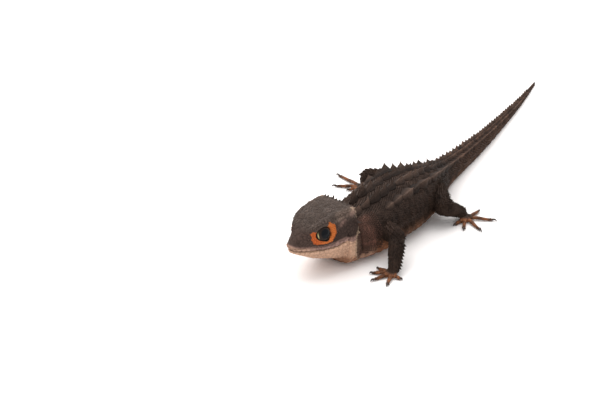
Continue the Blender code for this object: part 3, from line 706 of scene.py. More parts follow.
skin_look = Finish("scaled_hide")
grain = skin_look.noise(900.0)
pebbles = skin_look.cells(1500.0)
broad = skin_look.noise(160.0)
skin_colour = skin_look.shade(skin_look.tint(), 0.62 + 0.45 * grain + 0.3 * pebbles)
skin_look.set("Specular IOR Level", 0.10)
skin_material = skin_look.wear(skin_colour, 0.5 + 0.25 * broad, 0.7 * pebbles + 0.3 * grain, 0.00022)
dress(hide, skin_material)

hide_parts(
    "head", "lower_jaw", "neck", "torso", "tail_base", "tail_mid", "tail_tip",
    *(part + "_" + side for side in ("left", "right")
      for part in ("upper_arm", "forearm", "hand", "thigh", "shank", "foot")),
)
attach(hide, "root")


# The unwrap of the hide.
# The hide is opened out flat along its own folds. Each scale later takes a small patch at its root's
# place on it, so that the two keep the same colours.
bpy.context.view_layer.objects.active = hide
hide.select_set(True)
hide.data.uv_layers.new(name="OFBake")
bpy.ops.object.mode_set(mode="EDIT")
bpy.ops.mesh.select_all(action="SELECT")
bpy.ops.uv.smart_project(angle_limit=math.radians(66), island_margin=0.004, scale_to_bounds=True)
bpy.ops.object.mode_set(mode="OBJECT")
hide.select_set(False)

corner_count = len(hide.data.loops)
corner_places = np.empty(corner_count * 2, np.float32)
hide.data.uv_layers["OFBake"].uv.foreach_get("vector", corner_places)
corner_places = corner_places.reshape(-1, 2)
first_corner = np.empty(len(hide.data.polygons), np.int32)
hide.data.polygons.foreach_get("loop_start", first_corner)
corner_sums = np.add.reduceat(corner_places, first_corner)
corners_each = np.diff(np.append(first_corner, corner_count))
flat_places = corner_sums / corners_each[:, None]
hide_tree = BVHTree.FromPolygons(
    [tuple(p) for p in points], [tuple(face.vertices) for face in hide.data.polygons]
)
PATCH = 0.003
SCALES_OFF_FLOOR = 0.03


def lay_flat(mesh, places):
    """The unwrap of a piece of the coat, from each corner's place on the unwrap of the hide."""
    order = np.empty(len(mesh.loops), np.int32)
    mesh.loops.foreach_get("vertex_index", order)
    layer = mesh.uv_layers.new(name="OFBake")
    layer.uv.foreach_set("vector", places[order].astype(np.float32).ravel())


def coat_mesh(name, places, faces, colours, flat):
    """A mesh of the coat, from places in millimetres, with its colours and its unwrap."""
    mesh = bpy.data.meshes.new(name)
    mesh.from_pydata(places * MM + np.array(ORIGIN), [], faces)
    set_tint(mesh, colours)
    lay_flat(mesh, flat)
    return mesh


def lay(name, mesh, material):
    """Sets a piece out, dresses it and fixes it to the still body."""
    piece = set_out(name, mesh)
    dress(piece, material)
    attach(piece, "root")


UNEVEN_TURN = 0.07


class Seats:
    """Places on the hide where one kind of scale grows, each with its lie and its size."""

    def __init__(self, seed, spread=0.1):
        self.draw = random.Random(seed)
        self.spread = spread
        self.rows = []
        self.flat = []

    def add(self, point, rearward, length, width, height, deepest=0.7, lean=0.0, tone=0.28):
        """Seats a scale at the hide's nearest place, unless the point lies deep inside it."""
        at, out, face, _ = hide_tree.find_nearest(point)
        if (Vector(point) - at).dot(out) < -deepest:
            return
        back = rearward - out * rearward.dot(out)
        if back.length < 1e-4:
            return
        back.normalize()
        turn = self.draw.gauss(0.0, UNEVEN_TURN)
        aside = out.cross(back)
        back = back * math.cos(turn) + aside * math.sin(turn)
        up = (out + back * lean).normalized()
        grown = self.draw.uniform(1 - self.spread, 1 + self.spread)
        shade = 1.0 + self.draw.uniform(-tone, tone)
        self.rows.append((*at, *up, *back, length * grown, width * grown, height * grown, shade))
        self.flat.append(flat_places[face])


def plant(name, stamp, seats, material, recolour=None, smooth_faces=False):
    """Joins one copy of the stamp at each seat into a piece of the coat, in the hide's own colours, each
    copy's tone a little varied, with the stamp's painted shade and highlight laid on them.
    """
    rows = np.array(seats.rows)
    roots, up, back = rows[:, 0:3], rows[:, 3:6], rows[:, 6:9]
    across = np.cross(up, back)
    length, width, height, shade = (rows[:, k, None, None] for k in (9, 10, 11, 12))
    shape = stamp["points"][None]
    placed = roots[:, None] + shape[..., 0:1] * length * back[:, None]
    placed = placed + shape[..., 1:2] * width * across[:, None] + shape[..., 2:3] * height * up[:, None]
    count, each = len(rows), stamp["points"].shape[0]
    # Each scale's colour is the hide's at its root, times the stamp's painted shade and highlight, times its
    # own tone.
    colours = paint(roots)[:, None] * stamp["shade"][None, :, None] * shade
    if recolour is not None:
        colours = recolour(colours.reshape(-1, 3), placed.reshape(-1, 3))
    faces = [tuple(corner + i * each for corner in face) for i in range(count) for face in stamp["faces"]]
    placed = placed.reshape(-1, 3)
    placed[:, 2] = np.maximum(placed[:, 2], SCALES_OFF_FLOOR)
    patches = np.array(seats.flat)[:, None] + PATCH * np.clip(stamp["points"][None, :, :2], -0.5, 0.5)
    patches = np.clip(patches.reshape(-1, 2), 0.0, 1.0)
    mesh = coat_mesh(name, placed, faces, colours.reshape(-1, 3), patches)
    mesh.validate()
    if smooth_faces:
        mesh.shade_smooth()
    lay(name, mesh, material)


def stamp_of(shell, painted_relief_light):
    """The corners, faces and painted shade and highlight of a small shape, and the shape is then let go."""
    shell.verts.ensure_lookup_table()
    bmesh.ops.triangulate(shell, faces=shell.faces[:])
    found = {
        "points": np.array([vert.co[:] for vert in shell.verts]),
        "faces": [tuple(vert.index for vert in face.verts) for face in shell.faces],
        "shade": np.array([painted_relief_light(vert.co) for vert in shell.verts]),
    }
    shell.free()
    return found


# The back's scutes.
# Four rows of big horny plates run from the nape down the tail. Each is ribbed, with a high keel that
# ends in a spine leaning back, and is rooted in the hide under the plate before it.
SCUTE_PEAK = 0.68
SCUTE_TIP = 1.2
SCUTE_RIB = 0.06
SCUTE_ROOT = -0.45


def scute_stamp(steps_along, steps_across):
    plate = bmesh.new()
    bmesh.ops.create_grid(plate, x_segments=steps_along, y_segments=steps_across, size=0.5)
    for vert in plate.verts:
        u, v = vert.co.x + 0.5, vert.co.y * 2
        half = 0.5 * min(1.0, 1.3 * math.sqrt(u + 0.05)) * (1 - 0.85 * u**5)
        if u < SCUTE_PEAK:
            ridge = 0.1 + 0.9 * (u / SCUTE_PEAK) ** 1.15
        else:
            ridge = 1 - 0.8 * ((u - SCUTE_PEAK) / (1 - SCUTE_PEAK)) ** 0.8
        roof = (1 - abs(v)) ** (1.2 + 0.6 * ridge)
        ribs = SCUTE_RIB * math.cos(v * 15.0) * (1 - abs(v)) * math.sin(math.pi * u) ** 0.5
        edge = abs(v) > 0.999 or u < 0.001 or u > 0.999
        vert.co.x = (u - 0.5) + 0.1 * roof * ridge
        vert.co.y = half * v
        vert.co.z = SCUTE_ROOT if edge else 0.2 * (1 - v * v) + 0.8 * ridge * roof + ribs
        if u > 0.999:
            vert.co.x -= 0.08
    tip = max(plate.verts, key=lambda vert: vert.co.z)
    tip.co.z, tip.co.x = SCUTE_TIP, tip.co.x + 0.06

    # Painted shade and highlight: each plate is darker at its base and paler along its keel and up to its
    # spine.
    def painted_relief_light(co):
        return 0.38 + 0.3 * math.exp(-((co.y / 0.1) ** 2)) + 1.25 * min(1.1, max(0.0, co.z)) ** 1.5

    return stamp_of(plate, painted_relief_light)


def body_rear(y, angle):
    return (body_point(y + 0.5, angle) - body_point(y - 0.5, angle)).normalized()


# Each row's turn from the left flank, how far it is set back, in steps, and its size.
SCUTE_ROWS = ((80.0, 0.0, 1.0), (49.0, 0.5, 1.15))
FIRST_SCUTE, FIRST_OUTER, LAST_SCUTE = -17.6, -9.0, 139.0
NAPE = (-14.0, -8.0)
NAPE_SPINE = 2.0
OUTER_HEIGHT = ((-18.0, 0.25), (-8.0, 0.3), (0.0, 0.7), (8.0, 1.4), (36.0, 1.5), (50.0, 1.2), (150.0, 1.1))
SCUTE_DEEPEST = 2.0
SCUTE_TONE = 0.42

back_seats, tail_seats = Seats(21, 0.2), Seats(22)
at = FIRST_SCUTE
while at < LAST_SCUTE:
    half_width = smooth(BODY, at)[1]
    pitch = 1.96 + 0.25 * half_width
    for degrees, set_back, size in SCUTE_ROWS:
        y = at + set_back * pitch
        height = (0.42 + 0.14 * half_width) * size
        if set_back > 0.0:
            height *= smooth(OUTER_HEIGHT, at)[0]
        elif NAPE[0] < at < NAPE[1]:
            height *= NAPE_SPINE
        width = min(0.78 * pitch, 0.6 * half_width) + 0.6
        for turn in (degrees, 180.0 - degrees):
            angle = math.radians(turn)
            if set_back > 0.0 and y < FIRST_OUTER:
                continue
            seats = back_seats if y < TRUNK_END else tail_seats
            along, tall, lean = (seats.draw.uniform(-1.0, 1.0) for _ in range(3))
            seats.add(
                body_point(y + 0.08 * pitch * along, angle), body_rear(y, angle), pitch * 1.25, width,
                height * (1 + 0.18 * tall), SCUTE_DEEPEST, 0.2 * lean - 0.4 * set_back, SCUTE_TONE,
            )
    at += pitch

# A few scutes have pale worn tips, each given by its place, its breadth and its strength.
PALE_TIPS = ((-2.5, 49.0, 1.1, 1.0), (9.5, 70.0, 0.8, 0.7), (-9.5, 49.0, 0.9, 0.25), (-5.0, 49.0, 0.7, 0.2))
TIP_HEIGHT = 1.2


def with_pale_tips(colours, points):
    for y, degrees, breadth, strength in PALE_TIPS:
        angle = math.radians(degrees)
        tip = body_point(y, angle) + TIP_HEIGHT * Vector((math.cos(angle), 0.0, math.sin(angle)))
        away = np.linalg.norm(points - np.array(tip), axis=1) + 0.2 * wavy(points, 0.4, 17)
        colours = mix(colours, PALE, ramp(-away, -0.85 * breadth, -0.5 * breadth) * strength)
    return colours


def scaly_finish(name, base, spread, depth, shine):
    """The hide's own look at another roughness, for one kind of scale."""
    look = Finish(name)
    grain = look.noise(1100.0)
    cracks = look.cells(2600.0)
    broad = look.noise(200.0)
    colour = look.shade(look.tint(), 0.40 + 0.75 * grain + 0.55 * cracks)
    look.set("Specular IOR Level", shine)
    return look.wear(colour, base + spread * broad, 0.5 * cracks + 0.5 * grain, depth)


horn_material = scaly_finish("horny_scales", 0.55, 0.3, 0.00012, 0.10)
plant("back_scutes", scute_stamp(14, 12), back_seats, horn_material, with_pale_tips)
plant("tail_scutes", scute_stamp(12, 8), tail_seats, horn_material)


# The small scales of the trunk and tail.
# Keeled and pointed above and on the tail, rounder on the flanks and the neck, and broad and flat below.
# They grow from the hide in slanting rows, each over the root of the next.
def keeled_stamp(sides, keel, lean):
    """A low cone with its keel drawn back to a point."""
    cone = bmesh.new()
    bmesh.ops.create_cone(cone, cap_ends=False, segments=sides, radius1=0.5, radius2=0.16, depth=1.0)
    rim = [edge for edge in cone.edges if all(vert.co.z > 0.4 for vert in edge.verts)]
    made = bmesh.ops.contextual_create(cone, geom=rim)["faces"]
    bmesh.ops.poke(cone, faces=made)
    for vert in cone.verts:
        high = vert.co.z + 0.5
        if high < 0.5:
            vert.co.z = -0.35
        else:
            centre = abs(vert.co.x) + abs(vert.co.y) < 0.05
            vert.co.z = 1.0 if centre else 0.62 - 0.25 * abs(vert.co.y) / 0.16
            vert.co.y *= 1.0 - keel
            vert.co.x = vert.co.x * 1.3 + lean + (0.16 if centre else 0.0)
    bmesh.ops.recalc_face_normals(cone, faces=cone.faces[:])
    # Painted highlight toward each scale's keel and point, painted shade at its base.
    return stamp_of(cone, lambda co: 0.72 + 0.5 * max(0.0, co.z))


def granule_stamp(flat):
    bead = bmesh.new()
    bmesh.ops.create_icosphere(bead, subdivisions=2, radius=0.5)
    low = [vert for vert in bead.verts if vert.co.z < -0.2]
    bmesh.ops.delete(bead, geom=low, context="VERTS")
    for vert in bead.verts:
        vert.co.x *= 1.05
        vert.co.z = vert.co.z * 2 * (1 - flat) + flat * min(vert.co.z * 4, 1.0) * 0.5
    # Painted highlight on each bead's top, painted shade at its base.
    return stamp_of(bead, lambda co: 0.78 + 0.4 * max(0.0, co.z))


def ring_places(point_at, count, gap, shift):
    """Turns at even steps of this gap round a ring, shifted by part of a step."""
    turns = np.linspace(0.0, 2 * math.pi, count)
    line = np.array([point_at(turn) for turn in turns])
    run = np.concatenate(([0.0], np.cumsum(np.linalg.norm(np.diff(line, axis=0), axis=1))))
    wanted = np.arange(gap * (0.5 + shift), run[-1], gap)
    return np.interp(wanted, run, turns)


# Rows of small scales: where they start and end, how they close up, and which turns are the belly's.
FIRST_ROW, LAST_ROW, UNDER_JAW = -26.6, 148.5, -22.6
ROW_STEP, SCALE_STEP = 0.72, 0.82
BELLY_TURNS = (195, 345)
NECK_END = -13.5

back_small, flank_small, neck_small, belly_small, tail_small = (Seats(31 + k) for k in range(5))
y, odd = FIRST_ROW, 0
while y < LAST_ROW:
    half_width = smooth(BODY, y)[1]
    on_tail = min(1.0, max(0.0, (y - 30) / 40))
    size = 0.95 + 0.55 * on_tail * min(1.0, half_width / 4)
    size = max(0.5, min(size, 0.4 * half_width + 0.3))
    for angle in ring_places(lambda t: body_point(y, t), 72, size * SCALE_STEP, 0.5 * odd):
        degrees = math.degrees(angle)
        upper = 90 - abs(degrees - 90) if degrees <= 180 else -1
        spot = body_point(y + back_small.draw.uniform(-0.14, 0.14) * size, angle)
        rear = body_rear(y, angle)
        below = BELLY_TURNS[0] < degrees < BELLY_TURNS[1]
        if y < UNDER_JAW and not below:
            continue
        if 0 < upper and y > 38 or y > 60:
            tall = 0.5 * size if upper > 0 else 0.2 * size
            tail_small.add(spot, rear, size * 1.25, size * 0.85, tall)
        elif below:
            belly_small.add(spot, rear, size * 1.35, size * 1.1, 0.22)
        elif y < NECK_END and upper < 62:
            neck_small.add(spot, rear, size * 0.8, size * 0.66, 0.3)
        elif upper > 42:
            back_small.add(spot, rear, size * 1.35, size * 0.92, 0.32 + 0.01 * half_width)
        else:
            flank_small.add(spot, rear, size * 1.08, size * 0.86, 0.36)
    y += size * ROW_STEP
    odd = 1 - odd

plant("back_scales", keeled_stamp(6, 0.7, 0.22), back_small, horn_material)
plant("flank_scales", keeled_stamp(8, 0.35, 0.1), flank_small, horn_material)


def dark_beads(colours, points):
    return mix(colours, NECK_DARK, np.full(len(points), 0.8))


plant("neck_scales", granule_stamp(0.2), neck_small, horn_material, dark_beads, True)
plant("belly_scales", granule_stamp(0.7), belly_small, horn_material, smooth_faces=True)
plant("tail_scales", keeled_stamp(6, 0.7, 0.24), tail_small, horn_material)

# Bigger points stand among the small scales, in upright rows on the flanks.
flank_points = Seats(41)
for start in np.arange(-12.0, 34.0, 2.7):
    for step, degrees in enumerate((38, 28, 17, 6, -4)):
        for turn in (degrees, 180 - degrees):
            y = start + 0.9 * (step % 2) + flank_points.draw.uniform(-0.3, 0.3)
            angle = math.radians(turn + flank_points.draw.uniform(-2.0, 2.0))
            flank_points.add(body_point(y, angle), body_rear(y, angle), 1.7, 1.15, 0.75)
plant("flank_points", keeled_stamp(8, 0.7, 0.3), flank_points, horn_material)


# The scales of the legs.
# Strongly keeled and overlapping like roof tiles, with rows of spikes along the rear edges.
def limb_point(start, end, radii, run_at, turn):
    """A point of a leg's rounded length, at a run from its start that may be past either end."""
    a, b = Vector(start), Vector(end)
    run = (b - a).length
    along = (b - a) / run
    side = along.cross(Vector((0, 0, 1))).normalized()
    up = side.cross(along)
    t = min(1.0, max(0.0, run_at / run))
    radius = (radii[0] + (radii[1] - radii[0]) * t) * swell(t)
    past = max(-run_at, run_at - run, 0.0)
    radius = math.sqrt(max(0.01, radius**2 - past**2))
    return a + along * run_at + (side * math.cos(turn) + up * math.sin(turn)) * radius, along


LEG_ROW_STEP, LEG_SCALE_STEP = 0.78, 0.84
SPIKE_TURNS = (48, 74, 100, 126, 150, 172)
leg_small, leg_spikes = Seats(51), Seats(52)
leg_parts = []
for side in ("left", "right"):
    for joints, radii in ((ARM[side], ARM_RADII), (LEG[side], LEG_RADII)):
        for part in (0, 1):
            start, end, ends = joints[part], joints[part + 1], radii[part : part + 2]
            leg_parts.append((Vector(start), Vector(end)))
            run = (Vector(end) - Vector(start)).length
            for row, run_at in enumerate(np.arange(-0.9 * ends[0], run + 0.9 * ends[1], LEG_ROW_STEP)):
                for turn in ring_places(
                    lambda a: limb_point(start, end, ends, run_at, a)[0], 36, LEG_SCALE_STEP, 0.5 * (row % 2)
                ):
                    spot, along = limb_point(start, end, ends, run_at, turn)
                    leg_small.add(spot, along, 1.1, 0.84, 0.36, 0.4)
            for number, degrees in enumerate(SPIKE_TURNS):
                turn = math.radians(degrees if side == "left" else 180 - degrees)
                for place in range(10 if part == 0 else 8):
                    t = 0.18 + 0.105 * place + 0.05 * (number % 2)
                    spot, along = limb_point(start, end, ends, t * run, turn)
                    tall = 0.52 + 0.2 * (degrees > 110) + 0.25 * (degrees > 160)
                    leg_spikes.add(spot, along, 1.7, 1.1, tall, 0.4, 0.1)

# Where the rows of two lengths part, more of the same scales fill the hide between them.
CELL = 0.74
PALM_ROOM, LEG_ROOM = 0.58, 0.7


def cell_of(spot):
    return tuple(int(math.floor(c / CELL)) for c in spot)


taken = {}
for seats in (back_small, flank_small, neck_small, belly_small, tail_small, leg_small):
    for row in seats.rows:
        taken.setdefault(cell_of(row[:3]), []).append(row[:3])


def has_room(spot, room):
    i, j, k = cell_of(spot)
    for di in (-1, 0, 1):
        for dj in (-1, 0, 1):
            for dk in (-1, 0, 1):
                for x, y, z in taken.get((i + di, j + dj, k + dk), ()):
                    if (x - spot[0]) ** 2 + (y - spot[1]) ** 2 + (z - spot[2]) ** 2 < room * room:
                        return False
    return True


palms = [
    (Vector(joints[2]), foot_places[side + kind][0]) for side in ("left", "right")
    for joints, kind in ((ARM[side], "_hand"), (LEG[side], "_foot"))
]
palm_small = Seats(53)
spare = [(Vector(face.center) - ORIGIN) / MM for face in hide.data.polygons]
random.Random(54).shuffle(spare)
for spot in spare:
    if spot.z < 0.5 or (abs(spot.x) < HEAD_HALF_WIDTH and spot.y < -20.5):
        continue
    wrist, palm_end = min(palms, key=lambda palm: (palm[0] - spot).length)
    on_palm = spot.z < 3.2 and (wrist - spot).length < 5.5
    if not has_room(spot, PALM_ROOM if on_palm else LEG_ROOM):
        continue
    taken.setdefault(cell_of(spot), []).append(tuple(spot))
    if on_palm:
        palm_small.add(spot, palm_end - wrist, 0.9, 0.68, 0.26)
        continue
    start, end = min(leg_parts, key=lambda part: (spot - part[0].lerp(part[1], 0.5)).length)
    leg_small.add(spot, end - start, 1.1, 0.8, 0.36)

plant("leg_scales", keeled_stamp(6, 0.7, 0.24), leg_small, horn_material)
plant("leg_spikes", keeled_stamp(8, 0.72, 0.34), leg_spikes, horn_material)
plant("palm_scales", keeled_stamp(6, 0.4, 0.16), palm_small, horn_material)


# The shields of the head.
# Rough bony plates cover the casque, with smaller smooth scales on the snout, cheeks and throat. They are
# one relief of plates with seams between them, laid on the hide, as real head shields are fused to it.
def head_grid(stations, low, high, columns):
    """Points over the head between two runs at each station, and their faces."""
    placed = []
    for y in stations:
        line, run = half_ring(y)
        start, end = low(y, run), high(y, run)
        wanted = np.linspace(start, end, columns)
        folded = np.where(np.abs(wanted) > run[-1], 2 * run[-1] - np.abs(wanted), np.abs(wanted))
        sign = np.where(np.abs(wanted) > run[-1], -1.0, 1.0) * np.sign(wanted)
        x = np.interp(folded, run, line[:, 0]) * sign
        z = np.interp(folded, run, line[:, 2])
        placed.append(np.stack((x, np.full(columns, y), z), axis=1))
    rows = len(stations)
    faces = [
        (r * columns + c, r * columns + c + 1, (r + 1) * columns + c + 1, (r + 1) * columns + c)
        for r in range(rows - 1) for c in range(columns - 1)
    ]
    return np.concatenate(placed), faces, rows


def scatter(candidates, room, seed, kept=(), mirrored=True):
    """Picks candidates in a seeded order, each with its own room round it, mirrored left and right."""
    draw = np.random.default_rng(seed)
    centres = [np.array(c) for c in kept]
    for i in draw.permutation(len(candidates)):
        spot = candidates[i]
        if mirrored and spot[0] < 0.45 * room[i]:
            continue
        near = np.array(centres) if centres else np.full((1, 3), 99.0)
        if np.min(np.linalg.norm(near - spot, axis=1)) > room[i]:
            centres.append(spot)
            if mirrored:
                centres.append(spot * np.array((-1.0, 1.0, 1.0)))
    return centres


def nearest_two(spots, centres):
    """For each place the nearest centre's number and x, and how far off the nearest two are."""
    tree = KDTree(len(centres))
    for i, centre in enumerate(centres):
        tree.insert(centre, i)
    tree.balance()
    found = [tree.find_n(spot, 2) for spot in spots]
    return np.array([(one[1], one[0][0], one[2], two[2]) for one, two in found]).T


def seam_between(first, second):
    """0 half way between two centres, and 1 at a centre."""
    return (second - first) / (second + first + 1e-6)


# The sheet's rise off the hide, its ridges, and how deep it dips. Then, for each sheet, how deep the seams
# are, how high the plates are domed and how strong their ridges are, with what the casque adds to each.
PLATE_RISE = 0.07
RIDGE_STEP, RIDGE_HEIGHT, ROUGH_HEIGHT = 0.62, 0.75, 0.6
EYE_OPENING_DEPTH, NOSTRIL_PIT, BORDER_DEPTH = 1.6, 0.5, 0.55
SHIELD_RELIEF = ((0.13, 0.09), (0.10, 0.02), (0.035, 0.115))
THROAT_RELIEF = ((0.09, 0.0), (0.09, 0.0), (0.012, 0.0))


def laid_relief(name, grid, centres, relief_sizes, seam_shade, material):
    """A sheet of plates on the hide, its border sunk under it, with seams half way between the centres."""
    spots, faces, rows = grid
    columns = len(spots) // rows
    found = [hide_tree.find_nearest(spot) for spot in spots]
    laid = np.array([at for at, _, _, _ in found])
    outs = np.array([out for _, out, _, _ in found])
    places = np.array([flat_places[face] for _, _, face, _ in found])
    number, near_x, first, second = nearest_two(spots, centres)
    middle = first / (0.5 * (first + second) + 1e-6)
    on_casque = ramp(spots[:, 2], 17.2, 19.2)
    groove_depth, dome, strength = (size + more * on_casque for size, more in relief_sizes)
    groove = bell(seam_between(first, second), 0.16 - 0.4 * strength)

    # Each plate's ridges run their own way.
    across = np.abs(spots[:, 0]) + 0.5 * (spots[:, 0] - near_x) * np.cos(1.9 * number)
    across += 0.45 * spots[:, 1] * np.sin(2.7 * number)
    ridge = np.cos(2 * math.pi * (across + 0.22 * wavy(spots, 0.8, 63)) / RIDGE_STEP)
    rough = 0.5 * wavy(spots, 0.3, 61) + 0.7 * wavy(spots * (1.8, 0.6, 1.8), 0.26, 62)
    relief = PLATE_RISE + dome * (1 - middle**2) - groove_depth * groove
    relief += strength * (RIDGE_HEIGHT * ridge + ROUGH_HEIGHT * rough)

    # The sheet dips under the lids, into the nostrils and under the hide at its border.
    reach, _ = eye_ring_place(spots)
    relief -= EYE_OPENING_DEPTH * ramp(-reach, -0.98, -0.86)
    pit = bell(spots[:, 1] - NOSTRIL[0], 0.36) * bell(spots[:, 2] - NOSTRIL[1], 0.3)
    relief -= NOSTRIL_PIT * pit
    row, column = np.divmod(np.arange(len(spots)), columns)
    border = np.minimum(np.minimum(row, rows - 1 - row), np.minimum(column, columns - 1 - column))
    relief -= BORDER_DEPTH * ramp(-border.astype(float), -2.5, 0.5)
    shape = laid + outs * relief[:, None]
    shape[:, 2] = np.maximum(shape[:, 2], SCALES_OFF_FLOOR)

    # Painted shade in the sunk seams and the nostril pits, and painted highlight on the ridges and rough
    # bumps, with painted shade in the hollows between them.
    colours = paint(laid)
    colours *= ((1 - seam_shade * groove) * (1 - 0.8 * pit))[:, None]
    colours *= (1 + 3.2 * strength * (0.6 * ridge + 0.6 * rough) * (1 - groove))[:, None]
    mesh = coat_mesh(name, shape, faces, colours, places)
    mesh.shade_smooth()
    lay(name, mesh, material)


# The middles of the crown's big plates, as the run from its midline and y. Those aside are mirrored.
CROWN_PLATES = (
    (0.0, -42.6), (0.0, -40.0), (0.0, -36.6), (0.0, -32.4), (0.0, -28.2),
    (1.9, -41.2), (2.9, -37.9), (3.4, -34.2), (3.3, -30.2), (3.7, -26.2), (1.2, -24.6),
)
LIP_GAP = 1.15


def over_lip(y, run):
    """The run down to the upper lip, or behind the mouth to the jaw's lower edge."""
    behind = min(1.0, max(0.0, (y + 28.6) / 3.4))
    lowest = read_off(MOUTH, y) + LIP_GAP + 0.1 - 6.5 * behind
    return run_at_height(y, lowest)


def shield_room(spots):
    """How far apart the head's plates stand: wide on the casque, close on the cheeks and the lids."""
    x, y, z = spots.T
    room = 1.55 - 0.35 * ramp(y, -34.0, -30.0)
    room += 1.1 * ramp(z, 18.0, 19.6) * ramp(-np.abs(x), -6.3, -5.2)
    room -= 0.45 * ramp(y, -26.5, -24.0) * (z < 18)
    reach, _ = eye_ring_place(spots)
    return room - 0.65 * ramp(-reach, -1.5, -1.15)


top_grid = head_grid(
    np.linspace(-45.2, -21.9, 201), lambda y, run: -over_lip(y, run), over_lip, 285
)
kept = [head_place(y, x) for x, y in CROWN_PLATES]
kept += [Vector((-spot.x, spot.y, spot.z)) for spot in kept if spot.x > 0.1]
top_centres = scatter(top_grid[0], shield_room(top_grid[0]), 71, kept)
shield_material = scaly_finish("head_shields", 0.55, 0.3, 0.00010, 0.10)
laid_relief("head_shields", top_grid, top_centres, SHIELD_RELIEF, 0.55, shield_material)


def under_lip(y, run):
    return run_at_height(y, read_off(MOUTH, y) - LIP_GAP)


jaw_grid = head_grid(
    np.linspace(-45.0, -22.6, 130), under_lip, lambda y, run: 2 * run[-1] - under_lip(y, run), 181
)
JAW_ROOM = 1.15
jaw_centres = scatter(jaw_grid[0], np.full(len(jaw_grid[0]), JAW_ROOM), 72)
throat_material = scaly_finish("throat_scales", 0.5, 0.25, 0.00008, 0.22)
laid_relief("throat_scales", jaw_grid, jaw_centres, THROAT_RELIEF, 0.3, throat_material)


# The lips.
# A row of long smooth scales above the mouth and one below it, from one corner round the snout to the
# other, edge to edge and fixed to the hide.
def pad_stamp():
    pad = bmesh.new()
    bmesh.ops.create_grid(pad, x_segments=7, y_segments=7, size=0.5)
    for vert in pad.verts:
        dome = (1 - (2 * vert.co.x) ** 6) * (1 - (2 * vert.co.y) ** 4)
        vert.co.z = 0.55 * dome**0.5 + 0.45 * dome - (0.5 if dome < 0.001 else 0.0)
        vert.co.xy *= 1 - 0.1 * (abs(vert.co.x * vert.co.y) > 0.15)
    # Painted highlight on each lip scale's dome, painted shade at its edge.
    return stamp_of(pad, lambda co: 0.8 + 0.25 * max(0.0, co.z))


def lip_line(above):
    """Points along the lips, this far above the mouth, from one corner round the snout to the other."""
    stations = np.linspace(-45.1, -28.4, 40)
    side = [head_place(y, run_at_height(y, read_off(MOUTH, y) + above)) for y in stations]
    right = [Vector((-p.x, p.y, p.z)) for p in side]
    return right[::-1] + side


def on_line(line, run, at):
    return Vector([float(np.interp(at, run, [p[k] for p in line])) for k in range(3)])


LIP_OFF_MOUTH = 0.78
LIP_STEP, LIP_LENGTH, LIP_WIDTH, LIP_THICKNESS = 1.72, 1.86, 1.2, 0.2
lips = Seats(81)
for above in (LIP_OFF_MOUTH, -LIP_OFF_MOUTH):
    line = lip_line(above)
    run = np.concatenate(([0.0], np.cumsum([(b - a).length for a, b in zip(line, line[1:])])))
    for middle in np.arange(0.9, run[-1], LIP_STEP):
        spot = on_line(line, run, middle)
        ahead = on_line(line, run, middle + 0.3)
        lips.add(spot, ahead - spot, LIP_LENGTH, LIP_WIDTH, LIP_THICKNESS, 1.5, 0.0, 0.05)
plant("lip_scales", pad_stamp(), lips, throat_material, smooth_faces=True)


# The lids.
# A ring of loose orange skin, thick with beads, that holds each eye. It is open above, where the grey
# brow comes down to the eye.
LID_TURNS, LID_STEPS = 176, 22
OPENING_HALF_LENGTH, OPENING_ABOVE, OPENING_BELOW = 3.0, 2.2, 2.3
LID_OFF_EYE = 0.1
LID_HALF_LENGTH, LID_HALF_HEIGHT = 4.9, 4.0
LID_DOME, LID_EDGE = 0.42, 0.5
BEAD_ROOM, BEAD_RISE = 0.52, 0.22


def lid_ring(name, sign):
    """A ring of rays from the eye's opening to the hide, each domed and then beaded."""
    spots, places, domes = [], [], []
    for i in range(LID_TURNS):
        turn = 2 * math.pi * i / LID_TURNS
        cosine, sine = math.cos(turn), math.sin(turn)
        opening = OPENING_BELOW if sine < 0 else OPENING_ABOVE
        ray = EYE_LENGTH * (OPENING_HALF_LENGTH * cosine) + EYE_HEIGHT * (opening * sine)
        inner = EYE + ray + EYE_LOOKS * math.sqrt((EYE_RADIUS + LID_OFF_EYE) ** 2 - ray.length_squared)
        wide = EYE + EYE_LOOKS * 1.2 + EYE_LENGTH * (LID_HALF_LENGTH * cosine)
        wide += EYE_HEIGHT * (LID_HALF_HEIGHT * sine)
        at, out, face, _ = hide_tree.find_nearest((sign * wide.x, wide.y, wide.z))
        outer = Vector((sign * at.x, at.y, at.z)) - Vector((sign * out.x, out.y, out.z)) * 0.12
        for k in range(LID_STEPS):
            w = k / (LID_STEPS - 1)
            dome = math.sin(math.pi * w**0.7) ** 0.7
            spot = inner.lerp(outer, w) + EYE_LOOKS * (LID_DOME * dome - LID_EDGE * max(0.0, 0.1 - w) / 0.1)
            if k == LID_STEPS - 1:
                spot = outer - EYE_LOOKS * 0.3
            spots.append(spot)
            places.append(flat_places[face])
            domes.append(dome)
    spots = np.array(spots)
    centres = scatter(spots, np.full(len(spots), BEAD_ROOM), 91, mirrored=False)
    _, _, first, second = nearest_two(spots, centres)
    raised = np.clip(seam_between(first, second) * 2.2, 0.0, 1.0) ** 0.6
    spots = spots + np.array(EYE_LOOKS) * ((raised - 0.4) * BEAD_RISE * np.array(domes))[:, None]
    spots[:, 0] *= sign
    faces = []
    for i in range(LID_TURNS):
        for k in range(LID_STEPS - 1):
            a, b = i * LID_STEPS + k, (i + 1) % LID_TURNS * LID_STEPS + k
            faces.append((a, a + 1, b + 1, b) if sign < 0 else (a, b, b + 1, a + 1))
    # Painted highlight on each bead, painted shade between the beads.
    colours = paint(spots) * (0.55 + 0.5 * raised)[:, None]
    mesh = coat_mesh(name, spots, faces, colours, np.array(places))
    mesh.shade_smooth()
    lay(name, mesh, shield_material)


lid_ring("lid_left", 1)
lid_ring("lid_right", -1)


